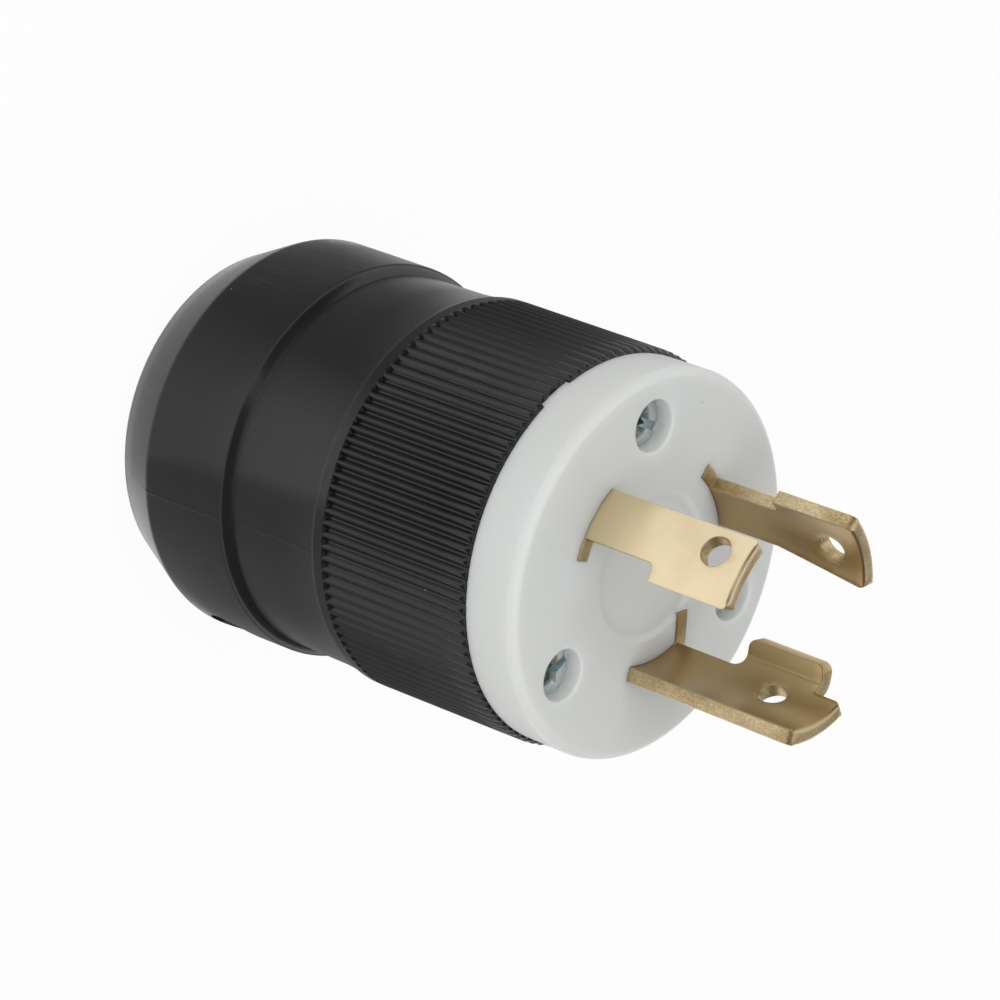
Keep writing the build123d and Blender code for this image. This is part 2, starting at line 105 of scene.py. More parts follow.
class ShellSizes(bpy.types.PropertyGroup):
    """Sizes of the black shell, from the rear end forwards."""

    rear_radius: length("Rear barrel radius", "Largest radius of the shell", SHELL_BOX[1].x / MM)
    rear_end_radius: length("Rear end radius", "Radius of the rear end face", 22.35)
    bevel_length: length("Rear bevel length", "Length of the cone at the rear end", 7.9)
    barrel_draft: length("Barrel draft", "How much the rear barrel narrows forwards", 0.2)
    shoulder_start: length("Shoulder start", "Level where the rear barrel ends", 20.75)
    shoulder_length: length("Shoulder length", "Length of the step down to the waist", 1.6)
    waist_radius: length("Waist radius", "Radius between the barrel and the grip", 24.55)
    flare_start: length("Flare start", "Level where the waist begins to widen", 30.25)
    lip_start: length("Lip start", "Level of the edge behind the ribs", 36.65)
    lip_rise: length("Lip rise", "Height of the small edge at the lip", 0.12)
    lip_edge: length("Lip edge", "Length of the small edge at the lip", 0.2)
    rib_start: length("Rib start", "Level where the ribs begin", 38.25)
    rib_end: length("Rib end", "Level where the ribs begin to run out", 60.15)
    grip_radius: length("Grip radius", "Radius over the ribs at their rear end", 25.2)
    rib_end_radius: length("Rib end radius", "Radius over the ribs at their front end", 24.85)
    front_radius: length("Front radius", "Radius of the front edge", 24.5)
    front_level: length("Front level", "Level of the front edge", SHELL_BOX[1].z / MM)
    ribs: whole("Ribs", "Number of ribs around the grip", 105)
    rib_columns: whole("Columns per rib", "Mesh columns across one rib", 8)
    groove_depth: length("Groove depth", "Depth of the grooves between the ribs", 0.7)
    groove_run: length("Groove run", "Length over which a groove reaches its depth", 0.06)
    rib_land: length("Rib land", "Width of the crest of one rib", 0.22)
    cavity_radius: length("Cavity radius", "Radius of the room inside", 22.0)
    floor_radius: length("Floor radius", "Radius of the floor inside the rear end", 18.5)
    rear_wall: length("Rear wall", "Thickness of the rear wall", 3.0)
    entry_radius: length("Cord entry radius", "Radius of the hole for the cord", 10.5)
    edge_round: length("Edge round", "Radius on the moulded edges", 0.45)
    seam_height: length("Seam height", "Height of the mould seam on the two sides", 0.06)
    hole_radius: length("Access hole radius", "Radius of the holes for the driver", 3.5)
    hole_offset: length("Access hole offset", "Distance of the holes from the middle", 14.6)
    hole_level: length("Access hole level", "Level of the holes", 12.0)
    key_angle: turn("Key angle", "Middle of the key of the white face", 111.8)
    key_width: turn("Key width", "Angle that the key covers", 10.8)
    key_depth: length("Key depth", "Depth of the key in the shell", 0.45)


class FaceSizes(bpy.types.PropertyGroup):
    """Sizes of the white face."""

    radius: length("Flange radius", "Radius of the white flange", FACE_BOX[1].x / MM)
    level: length("Face level", "Level of the front surface", FACE_BOX[1].z / MM)
    rim_radius: length("Rim radius", "Radius of the rounded rim", 1.2)
    rear_level: length("Rear level", "Level of the surface behind the face", 60.0)
    spigot_radius: length("Spigot radius", "Outer radius of the spigot in the shell", 21.8)
    spigot_wall: length("Spigot wall", "Wall of the spigot", 2.5)
    spigot_level: length("Spigot level", "Level of the rear end of the spigot", FACE_BOX[0].z / MM)
    dish_radius: length("Dish radius", "Radius of the sunk middle", 9.3)
    dish_slope: length("Dish slope", "Width of the sloped edge of the middle", 0.7)
    dish_depth: length("Dish depth", "Depth of the sunk middle", 0.45)
    slot_clearance: length("Slot clearance", "Gap between a blade and its slot", 0.05)
    mouth_round: length("Mouth round", "Radius at the mouths of the screw holes", 0.4)
    slot_round: length("Slot round", "Radius at the mouths of the blade slots", 0.05)
    screw_circle: length("Screw circle", "Radius of the circle of assembly screws", 17.8)
    counterbore_radius: length("Counterbore radius", "Radius of the sunk screw holes", 3.2)
    counterbore_depth: length("Counterbore depth", "Depth of the sunk screw holes", 3.95)
    screw_hole_radius: length("Screw hole radius", "Radius of the holes for the screws", 1.95)
    column_radius: length("Column radius", "Radius of the columns behind the screws", 3.7)


class BladeSizes(bpy.types.PropertyGroup):
    """Sizes of the stamped blades, which lie on one circle around the axis."""

    inner_radius: length("Inner radius", "Radius of the hollow side", 12.4)
    thickness: length("Thickness", "Thickness of the sheet", 1.8)
    tail_level: length("Tail level", "Level of the rear end", LINE_BOX[0].z / MM)
    tip_level: length("Tip level", "Level of the line blades' tips", LINE_BOX[1].z / MM)
    ground_tip_level: length("Ground tip level", "Level of the ground blade's tip", GROUND_BOX[1].z / MM)
    foot_height: length("Foot height", "Height of the foot above the face", 0.15)
    hook_height: length("Hook height", "Height of the hook above the face", 10.4)
    foot_angle: turn("Foot angle", "Angle that the foot covers", 38.6)
    neck_angle: turn("Neck angle", "Angle that the neck covers", 27.6)
    hook_angle: turn("Hook angle", "Angle that the hook covers", 36.4)
    shoulder_angle: turn("Shoulder angle", "Angle of the shoulders of the tail", 3.0)
    line_x_angle: turn("Line X angle", "Angle where line blade X starts", 120.6)
    line_y_angle: turn("Line Y angle", "Angle where line blade Y starts", 6.7)
    flare_height: length("Flare height", "Height above the face where blade Y begins to widen", 9.1)
    flare_angle: turn("Flare angle", "Angle by which blade Y widens", 8.4)
    ground_angle: turn("Ground angle", "Angle where the ground blade starts", 253.2)
    ground_foot_angle: turn("Ground foot angle", "Angle from the blade's start to its foot's bend", 36.5)
    foot_tab_width: length("Foot tab width", "Width of the flat part of the foot's tab", 3.4)
    ground_neck_angle: turn("Ground neck angle", "Angle that the ground blade's neck covers", 40.0)
    ground_bend_angle: turn("Ground bend angle", "Angle that the curved plate covers", 46.0)
    ground_tip_angle: turn("Ground tip angle", "Angle that the ground blade's tip covers", 41.5)
    foot_tab_bend: turn("Foot tab bend", "Angle through which the foot's tab is bent", 66.0)
    tab_bend: turn("Tab bend", "Angle through which the tab is bent", 50.0)
    tab_bend_radius: length("Tab bend radius", "Inner radius of the tab's bend", 0.7)
    tab_width: length("Tab width", "Width of the flat part of the tab", 2.0)
    tab_start_height: length("Tab start height", "Height of the tab's rear end above the face", 9.7)
    tab_end_height: length("Tab end height", "Height of the tab's front end above the face", 21.0)
    tip_corner: length("Tip corner", "Radius of the corners at the tip", 1.0)
    tip_bevel: length("Tip bevel", "Bevel along the tip", 0.5)
    edge_round: length("Edge round", "Radius that the press leaves on the edges", 0.14)
    corner_round: length("Corner round", "Radius in the corners of the outline", 0.45)
    hole_radius: length("Hole radius", "Radius of the hole near the tip", 1.8)
    hole_height: length("Hole height", "Height of the hole above the face", 17.5)
    hole_angle: turn("Hole angle", "Angle from the blade's start to its hole", 12.2)
    ground_hole_height: length("Ground hole height", "Height of the ground blade's hole", 16.6)
    ground_hole_angle: turn("Ground hole angle", "Angle from the ground blade's start to its hole", 29.5)
    terminal_level: length("Terminal level", "Level of the terminal screws", 53.0)
    terminal_hole_radius: length("Terminal hole radius", "Radius of the terminal screws' holes", 2.0)


class ScrewSizes(bpy.types.PropertyGroup):
    """Sizes of the screws."""

    count: whole("Assembly screws", "Number of screws in the face", 3)
    start_angle: turn("First screw", "Angle of the first assembly screw", 90.0)
    head_level: length("Head level", "Level of the top of the assembly screws", SCREW_BOX[1].z / MM)
    end_level: length("End level", "Level of the end of the assembly screws", SCREW_BOX[0].z / MM)
    head_radius: length("Head radius", "Radius of an assembly screw's head", 2.95)
    head_height: length("Head height", "Height of an assembly screw's head", 2.2)
    shank_radius: length("Shank radius", "Radius of an assembly screw's shank", 1.75)
    terminal_head_radius: length("Terminal head radius", "Radius of a terminal screw's head", 3.2)
    terminal_head_height: length("Terminal head height", "Height of a terminal screw's head", 2.2)
    terminal_outer: length("Terminal seat", "Radius of the seat of the terminal screws' heads", 14.2)
    terminal_inner: length("Terminal end", "Radius of the end of the terminal screws", 6.4)
    clamp_head_radius: length("Clamp head radius", "Radius of a clamp screw's head", 3.1)
    clamp_head_height: length("Clamp head height", "Height of a clamp screw's head", 2.4)
    clamp_shank_radius: length("Clamp shank radius", "Radius of a clamp screw's shank", 2.0)
    clamp_seat: length("Clamp seat", "Distance of the clamp screws' seats from the middle", 9.5)
    clamp_shank_length: length("Clamp shank length", "Length of a clamp screw's shank", 19.2)
    slot_width: length("Slot width", "Width of the slot in a head", 1.1)
    slot_depth: length("Slot depth", "Depth of the slot in a head", 0.8)
    cross_radius: length("Cross radius", "Reach of the cross recess", 2.0)
    cross_depth: length("Cross depth", "Depth of the cross recess", 1.5)
    thread_pitch: length("Thread pitch", "Pitch of the threads", 0.8)
    thread_depth: length("Thread depth", "Depth of the threads", 0.22)


class FinishColours(bpy.types.PropertyGroup):
    """Colours of the finishes."""

    black: tint("Black nylon", "Colour of the shell and the clamp", 0.006, 0.0066, 0.0066)
    dust: tint("Dust", "Colour of dust and fine scratches on the shell", 0.30, 0.31, 0.31)
    white: tint("White nylon", "Colour of the face", 0.66, 0.68, 0.675)
    brass: tint("Brass", "Colour of clean brass", 0.90, 0.76, 0.50)
    # The tarnish colour is also mixed in as painted shade on the blades: along the edges' rounding, on the
    # ground tab's inner edge and towards the face.
    tarnish_and_shade: tint("Tarnish", "Colour of tarnished brass", 0.48, 0.34, 0.15)
    dull: tint("Dull brass", "Colour of the hollow sides of the blades", 0.49, 0.365, 0.19)
    zinc: tint("Zinc", "Colour of the zinc plating", 0.82, 0.90, 0.92)
    green: tint("Green", "Colour of the ground terminal screw", 0.03, 0.20, 0.08)


class StageSizes(bpy.types.PropertyGroup):
    """Camera, floor and light."""

    camera_place: heading(
        "Camera place", "Where the camera stands", "TRANSLATION", (-0.296308, 0.172577, 0.319994)
    )
    camera_view: heading(
        "Camera view", "Direction in which the camera looks", "DIRECTION", (0.6737, -0.38921, -0.62821)
    )
    camera_up: heading(
        "Camera up", "Direction that is up in the picture", "DIRECTION", (0.28162, 0.92114, -0.26868)
    )
    lens: number("Lens", "Focal length in millimetres", 129.6, min=10, max=500)
    floor_size: number("Floor size", "Side of the floor", 6.0, unit="LENGTH")
    floor_glow: number("Floor white", "Share of plain white in the floor's colour", 0.95, min=0, max=1)
    world_strength: number("World", "Strength of the light all round", 0.57)
    key_power: number("Key lamp", "Power of the upper lamp in watts", 0.58)
    fill_power: number("Fill lamp", "Power of the lower lamp in watts", 0.55)


class PlugSettings(bpy.types.PropertyGroup):
    """All that a user can change on the plug."""

    shell: PointerProperty(type=ShellSizes)
    face: PointerProperty(type=FaceSizes)
    blades: PointerProperty(type=BladeSizes)
    screws: PointerProperty(type=ScrewSizes)
    colours: PointerProperty(type=FinishColours)
    stage: PointerProperty(type=StageSizes)


# Nodes


class Link:
    """A node's output that takes part in sums written in Python."""

    def __init__(self, nodes, socket):
        self.nodes = nodes
        self.socket = socket

    def math(self, operation, *others):
        terms = dict(enumerate((self, *others)))
        return self.nodes.add("ShaderNodeMath", {"operation": operation}, terms)

    def flipped(self, operation, other):
        return self.nodes.add("ShaderNodeMath", {"operation": operation}, {0: other, 1: self})

    def other(self, name):
        """Another output of the same node."""
        found = next(s for s in self.socket.node.outputs if s.name == name and s.enabled)
        return Link(self.nodes, found)

    def __add__(self, value):
        return self.math("ADD", value)

    def __mul__(self, value):
        return self.math("MULTIPLY", value)

    def __sub__(self, value):
        return self.math("SUBTRACT", value)

    def __truediv__(self, value):
        return self.math("DIVIDE", value)

    def __pow__(self, value):
        return self.math("POWER", value)

    def __lt__(self, value):
        return self.math("LESS_THAN", value)

    def __gt__(self, value):
        return self.math("GREATER_THAN", value)

    def __abs__(self):
        return self.math("ABSOLUTE")

    def __rsub__(self, value):
        return self.flipped("SUBTRACT", value)

    __radd__ = __add__
    __rmul__ = __mul__


class Nodes:
    """Adds nodes to one tree."""

    def __init__(self, tree):
        self.tree = tree
        tree.nodes.clear()

    def add(self, kind, settings=None, sockets=None, output=0):
        """Makes one node, sets it, fills its sockets and gives one of its outputs."""
        node = self.tree.nodes.new(kind)
        for key, value in (settings or {}).items():
            setattr(node, key, value)
        for key, value in (sockets or {}).items():
            socket = node.inputs[key] if isinstance(key, int) else self.find(node.inputs, key)
            for item in value if isinstance(value, list) else [value]:
                if isinstance(item, Link):
                    self.tree.links.new(item.socket, socket)
                else:
                    socket.default_value = item
        if not node.outputs:
            return None
        found = node.outputs[output] if isinstance(output, int) else self.find(node.outputs, output)
        return Link(self, found)

    def off_axis(self, place):
        """The distance of a place from the plug's axis, and its level."""
        east = self.add("ShaderNodeSeparateXYZ", {}, {0: place})
        north = east.other("Y")
        return (east * east + north * north).math("SQRT"), east.other("Z")

    @staticmethod
    def find(sockets, name):
        return next(s for s in sockets if s.name == name and s.enabled)


class Growth(Nodes):
    """A Geometry Nodes tree with named inputs."""

    def __init__(self, name, counts, sizes):
        tree = bpy.data.node_groups.new(name, "GeometryNodeTree")
        super().__init__(tree)
        inputs = [("Geometry", "Geometry")]
        inputs += [(label, "Int") for label in counts]
        inputs += [(label, "Float") for label in sizes]
        inputs.append(("Material", "Material"))
        for label, kind in inputs:
            tree.interface.new_socket(name=label, in_out="INPUT", socket_type="NodeSocket" + kind)
        tree.interface.new_socket(name="Geometry", in_out="OUTPUT", socket_type="NodeSocketGeometry")
        self.group = tree.nodes.new("NodeGroupInput")

    def given(self, name):
        return Link(self, self.group.outputs[name])

    def finish(self, geometry):
        """Ends the tree in real meshes with their material."""
        real = self.add("GeometryNodeRealizeInstances", {}, {"Geometry": geometry})
        done = self.add(
            "GeometryNodeSetMaterial", {}, {"Geometry": real, "Material": self.given("Material")}
        )
        self.add("NodeGroupOutput", {}, {0: done})
        return self.tree

    def moved(self, geometry, place=(0, 0, 0), rotation=(0, 0, 0), scale=(1, 1, 1)):
        return self.add(
            "GeometryNodeTransform",
            {},
            {"Geometry": geometry, "Translation": place, "Rotation": rotation, "Scale": scale},
        )

    def vector(self, x, y, z):
        return self.add("ShaderNodeCombineXYZ", {}, {0: x, 1: y, 2: z})

    def position(self):
        parts = self.add("ShaderNodeSeparateXYZ", {}, {0: self.add("GeometryNodeInputPosition")})
        return parts, parts.other("Y"), parts.other("Z")

    def cut(self, mesh, cutters):
        return self.add(
            "GeometryNodeMeshBoolean",
            {"operation": "DIFFERENCE", "solver": "MANIFOLD"},
            {"Mesh 1": mesh, "Mesh 2": cutters},
            output="Mesh",
        )

    def shaded(self, mesh, sharp):
        """Smooth faces, with the chosen edges kept sharp."""
        smooth = self.add("GeometryNodeSetShadeSmooth", {"domain": "FACE"}, {"Geometry": mesh})
        return self.add(
            "GeometryNodeSetShadeSmooth",
            {"domain": "EDGE"},
            {"Geometry": smooth, "Selection": sharp, "Shade Smooth": False},
        )

    def edge_angle(self):
        return self.add("GeometryNodeInputMeshEdgeAngle")


def linked(name, data):
    made = bpy.data.objects.new(name, data)
    bpy.context.scene.collection.objects.link(made)
    return made


def grown(name, mesh, tree, values):
    """Runs a tree on a mesh and keeps the result as an object with a plain mesh."""
    made = linked(name, mesh)
    modifier = made.modifiers.new(tree.name, "NODES")
    modifier.node_group = tree
    for item in tree.interface.items_tree:
        if item.item_type == "SOCKET" and item.in_out == "INPUT" and item.name in values:
            modifier[item.identifier] = values[item.name]
    depsgraph = bpy.context.evaluated_depsgraph_get()
    result = bpy.data.meshes.new_from_object(
        made.evaluated_get(depsgraph), preserve_all_data_layers=True, depsgraph=depsgraph
    )
    made.modifiers.remove(modifier)
    made.data = result
    if not result.polygons:
        raise RuntimeError(f"{name} came out empty")
    return made


# Finishes


class Finish(Nodes):
    """One procedural material."""

    def __init__(self, name):
        self.material = bpy.data.materials.new(name)
        self.material.use_nodes = True
        super().__init__(self.material.node_tree)
        self.place = self.add("ShaderNodeTexCoord", {}, {}, output="Object")

    def stretched(self, scale, rotation=(0, 0, 0)):
        return self.add("ShaderNodeMapping", {}, {"Vector": self.place, "Scale": scale, "Rotation": rotation})

    def noise(self, scale, detail=2.0, place=None):
        return self.add(
            "ShaderNodeTexNoise", {}, {"Vector": place or self.place, "Scale": scale, "Detail": detail}
        )

    def specks(self, scale, size, share):
        """Small round spots, one in some of the cells of a random pattern."""
        cells = self.add("ShaderNodeTexVoronoi", {}, {"Vector": self.place, "Scale": scale})
        pick = self.add("ShaderNodeSeparateColor", {}, {"Color": cells.other("Color")})
        return (cells < size) * (pick < share)

    def ramp(self, value, low, high, out_low=0.0, out_high=1.0):
        return self.add(
            "ShaderNodeMapRange",
            {},
            {"Value": value, "From Min": low, "From Max": high, "To Min": out_low, "To Max": out_high},
        )

    def mixed(self, factor, first, second):
        colours = [c if isinstance(c, Link) else (*c, 1) for c in (first, second)]
        return self.add(
            "ShaderNodeMix",
            {"data_type": "RGBA"},
            {"Factor": factor, "A": colours[0], "B": colours[1]},
            output="Result",
        )

    def bump(self, height, strength, distance):
        return self.add(
            "ShaderNodeBump", {}, {"Height": height, "Strength": strength, "Distance": distance * MM}
        )

    def finish(self, **sockets):
        named = {key.replace("_", " ").title(): value for key, value in sockets.items()}
        shader = self.add("ShaderNodeBsdfPrincipled", {}, named)
        self.add("ShaderNodeOutputMaterial", {}, {"Surface": shader})
        return self.material


def black_nylon(colours):
    """Satin black moulding with a fine grain, dust and hairline scratches."""
    made = Finish("black_nylon")
    cloud = made.noise(70, 3)
    grain = made.noise(4200, 2)
    lines = made.noise(1.0, 1, made.stretched((700, 700, 22), (0.3, 0.2, 0)))
    patch = made.ramp(made.noise(45, 2), 0.56, 0.66)
    scratch = (abs(lines - 0.5) < 0.008) * patch
    dust = made.specks(330, 0.045, 0.2)
    black = tuple(colours.black)
    shade = made.mixed(made.ramp(cloud, 0.35, 0.7), black, tuple(1.5 * c for c in black))
    shade = made.mixed(scratch * 0.07 + dust * 0.4, shade, tuple(colours.dust))
    return made.finish(
        base_color=shade,
        roughness=0.19 + 0.07 * cloud + 0.05 * grain + 0.2 * dust,
        normal=made.bump(0.6 * grain + 0.4 * made.noise(1300, 1), 0.08, 0.03),
    )


def white_nylon(colours):
    """Milky white moulding with faint flow marks and a few dark specks."""
    made = Finish("white_nylon")
    cloud = made.noise(55, 3)
    flow = made.noise(1.0, 2, made.stretched((160, 160, 40)))
    dirt = made.specks(240, 0.035, 0.05)
    white = tuple(colours.white)
    warm = (white[0], white[1] * 0.985, white[2] * 0.955)
    shade = made.mixed(made.ramp(cloud, 0.3, 0.75), white, warm)
    shade = made.mixed(dirt * 0.5, shade, (0.09, 0.085, 0.08))
    return made.finish(
        base_color=shade,
        roughness=0.30 + 0.12 * cloud,
        normal=made.bump(0.5 * flow + 0.5 * made.noise(1500, 2), 0.06, 0.03),
        subsurface_weight=0.7,
        subsurface_radius=(1.0, 0.95, 0.85),
        subsurface_scale=3.0 * MM,
    )


def rolled_brass(colours):
    """Satin brass sheet with faint rolling lines, a duller hollow side and grainy sheared edges, with painted
    shade along the edges' rounding, on the ground tab's inner edge and towards the face.
    """
    made = Finish("rolled_brass")
    sheared, hollow = (
        made.add("ShaderNodeAttribute", {"attribute_name": label}, {}, output="Fac")
        for label in ("sheared", "hollow")
    )
    cloud = made.noise(110, 4)
    rolled = made.noise(1.0, 2, made.stretched((2600, 2600, 90)))
    grain = made.noise(2600, 3)
    tear = made.noise(1.0, 4, made.stretched((4200, 4200, 2600)))
    stain = made.ramp(cloud, 0.48, 0.78, 0.0, 0.3)
    shade = made.mixed(stain, tuple(colours.brass), tuple(colours.tarnish_and_shade))
    worn = made.mixed(made.ramp(cloud, 0.4, 0.75, 0.0, 0.35), tuple(colours.dull), tuple(colours.tarnish_and_shade))
    shade = made.mixed(hollow * (1 - sheared), shade, worn)
    torn = made.ramp(tear, 0.35, 0.72, 0.1, 0.7) + made.ramp(made.noise(260, 3), 0.4, 0.65, 0.0, 0.4)
    shade = made.mixed(sheared * torn, shade, tuple(colours.tarnish_and_shade))
    # Painted shade: a thin dark line where a sheared edge rounds into the faces of the sheet.
    shade = made.mixed((1 - abs(2 * sheared - 1)) * 0.15, shade, tuple(0.7 * c for c in colours.tarnish_and_shade))
    off_axis, level = made.off_axis(made.place)
    # Painted shade: sheared edges inside the blades' circle, mainly the ground blade's bent tab, are darkened
    # towards the axis.
    tab_inside, tab_outside = 11.4 * MM, 12.35 * MM
    tab_edge_shade = made.ramp(off_axis, tab_inside, tab_outside, 0.85, 0.0)
    shade = made.mixed(sheared * tab_edge_shade, shade, tuple(colours.tarnish_and_shade))
    # Painted shade: the blades are darkened towards the face they stand in, fading out 9 mm above it.
    base_shade_start, base_shade_end = 68 * MM, 77 * MM
    foot = made.ramp(level, base_shade_start, base_shade_end, 0.25, 0.0)
    shade = made.mixed(foot, shade, tuple(colours.tarnish_and_shade))
    return made.finish(
        base_color=shade,
        metallic=1.0,
        roughness=0.25 + 0.10 * cloud + 0.06 * rolled + 0.15 * sheared,
        normal=made.bump(0.3 * rolled + 0.25 * grain + sheared * tear * 0.9, 0.3, 0.03),
    )


def zinc_steel(colours):
    """Bright zinc plating with a bluish cast, and painted shade in the screws' slot and cross recesses."""
    made = Finish("zinc_steel")
    cloud = made.noise(400, 3)
    grain = made.noise(3500, 2)
    zinc = tuple(colours.zinc)
    shade = made.mixed(made.ramp(cloud, 0.35, 0.7), zinc, tuple(0.72 * c for c in zinc))
    _, level = made.off_axis(made.place)
    top = SCREW_BOX[1].z
    recess_floor, recess_top, head_end = top - 1.0 * MM, top - 0.45 * MM, top - 2.0 * MM
    # Painted shade: a head's slot and cross recess are darkened with teal towards their floor.
    sunk = made.ramp(level, recess_floor, recess_top, 0.8, 0.0) * (level > head_end)
    recess_shade_teal = (0.20, 0.32, 0.34)
    shade = made.mixed(sunk, shade, recess_shade_teal)
    return made.finish(
        base_color=shade,
        metallic=1.0,
        roughness=0.13 + 0.12 * cloud,
        normal=made.bump(grain, 0.12, 0.02),
    )


def green_steel(colours):
    """Green dyed plating of the ground terminal's screw."""
    made = Finish("green_steel")
    cloud = made.noise(400, 3)
    green = tuple(colours.green)
    shade = made.mixed(made.ramp(cloud, 0.35, 0.7), green, tuple(0.7 * c for c in green))
    return made.finish(
        base_color=shade,
        metallic=0.7,
        roughness=0.3 + 0.15 * cloud,
        normal=made.bump(made.noise(3500, 2), 0.15, 0.02),
    )


FINISHES = {
    "black_nylon": black_nylon,
    "white_nylon": white_nylon,
    "brass": rolled_brass,
    "zinc_steel": zinc_steel,
    "green_steel": green_steel,
}
made_finishes = {}


def finish_for(slot):
    """The material for one slot of the record, made when it is first needed."""
    if slot not in made_finishes:
        made_finishes[slot] = FINISHES[slot](bpy.context.scene.plug.colours)
    return made_finishes[slot]


def dress(slot, *nodes):
    """Gives CAD nodes that stay as they are a procedural finish."""
    for name in nodes:
        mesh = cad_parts[name].data
        mesh.materials.clear()
        mesh.materials.append(finish_for(slot))


def stand_for(piece, slot, body, *nodes):
    """A finished piece rides on a body, has a slot and replaces its CAD nodes."""
    if not piece.data.materials:
        piece.data.materials.append(finish_for(slot))
    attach(piece, body)
    if nodes:
        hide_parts(*nodes)


# Outlines and meshes


def polar(radius, angle):
    return Vector((radius * math.cos(angle), radius * math.sin(angle)))


def rounded(corners, steps=6, closed=True):
    """A line through corners given as (x, y, radius), with an arc at each one that has a radius."""
    points = []
    for i, (x, y, radius) in enumerate(corners):
        here = Vector((x, y))
        if not radius or (not closed and i in (0, len(corners) - 1)):
            points.append(here)
            continue
        before = Vector(corners[i - 1][:2]) - here
        after = Vector(corners[(i + 1) % len(corners)][:2]) - here
        half = before.angle(after) / 2
        reach = min(radius / math.tan(half), 0.49 * before.length, 0.49 * after.length)
        radius = reach * math.tan(half)
        start = here + before.normalized() * reach
        middle = here + (before.normalized() + after.normalized()).normalized() * (radius / math.sin(half))
        sweep = (start - middle).angle_signed(here + after.normalized() * reach - middle)
        arm = start - middle
        for k in range(steps + 1):
            points.append(middle + Matrix.Rotation(-sweep * k / steps, 2) @ arm)
    return points


def quarter_round(steps):
    """A quarter turn as (1 - cosine, 1 - sine), from which rounded edges and mouths are made."""
    swings = [math.pi / 2 * k / steps for k in range(steps + 1)]
    return [(1 - math.cos(swing), 1 - math.sin(swing)) for swing in swings]


def mesh_from(name, points, faces):
    made = bpy.data.meshes.new(name)
    made.from_pydata(points, [], faces)
    made.validate()
    return made


def turned(profile, columns):
    """Points and faces of a closed solid turned about the axis from a line of (radius, level)."""
    points, rows = [], []
    for radius, level in profile:
        if radius < 1e-9:
            rows.append([len(points)] * columns)
            points.append((0, 0, level))
            continue
        rows.append(list(range(len(points), len(points) + columns)))
        points += [(*polar(radius, FULL_TURN * k / columns), level) for k in range(columns)]
    faces = []
    ends_on_axis = profile[0][0] < 1e-9
    for low, high in zip(rows, rows[1:] + ([] if ends_on_axis else rows[:1])):
        for k in range(columns):
            n = (k + 1) % columns
            corners = list(dict.fromkeys((low[k], low[n], high[n], high[k])))
            if len(corners) > 2:
                faces.append(corners)
    return points, faces


def stacked(outlines):
    """Points and faces of a solid through closed outlines of equal length, given as (points, level)."""
    count = len(outlines[0][0])
    points = [(x, y, level) for outline, level in outlines for x, y in outline]
    faces = [tuple(reversed(range(count)))]
    for row in range(len(outlines) - 1):
        for k in range(count):
            n = (k + 1) % count
            low, high = row * count, (row + 1) * count
            faces.append((low + k, low + n, high + n, high + k))
    last = (len(outlines) - 1) * count
    faces.append(tuple(range(last, last + count)))
    return points, faces


def gathered(*solids):
    """Several solids as one list of points and one of faces."""
    points, faces = [], []
    for more_points, more_faces in solids:
        faces += [[i + len(points) for i in face] for face in more_faces]
        points += more_points
    return points, faces


def placed(solid, matrix):
    points, faces = solid
    return [tuple(matrix @ Vector(p)) for p in points], faces


def combined(piece, solid, operation):
    """Cuts a solid out of a piece or joins it on."""
    tool = linked("tool", mesh_from("tool", *solid))
    modifier = piece.modifiers.new("combine", "BOOLEAN")
    modifier.operation = operation
    modifier.solver = "EXACT"
    modifier.object = tool
    depsgraph = bpy.context.evaluated_depsgraph_get()
    result = bpy.data.meshes.new_from_object(piece.evaluated_get(depsgraph), depsgraph=depsgraph)
    piece.modifiers.remove(modifier)
    piece.data = result
    bpy.data.objects.remove(tool)
    if not result.polygons:
        raise RuntimeError(f"{piece.name} came out empty")


def smoothed(mesh, degrees):
    """Smooth shading that stops at edges sharper than an angle."""
    mesh.polygons.foreach_set("use_smooth", [True] * len(mesh.polygons))
    mesh.set_sharp_from_angle(angle=math.radians(degrees))


# The black shell


def graded(start, end, steps, eased=False):
    """The points after a start on the way to an end, both (radius, level). The radius may ease in."""
    points = []
    for k in range(1, steps + 1):
        share = k / steps
        grade = share * share if eased else share
        radius = start[0] + (end[0] - start[0]) * grade
        points.append(Vector((radius, start[1] + (end[1] - start[1]) * share)))
    return points


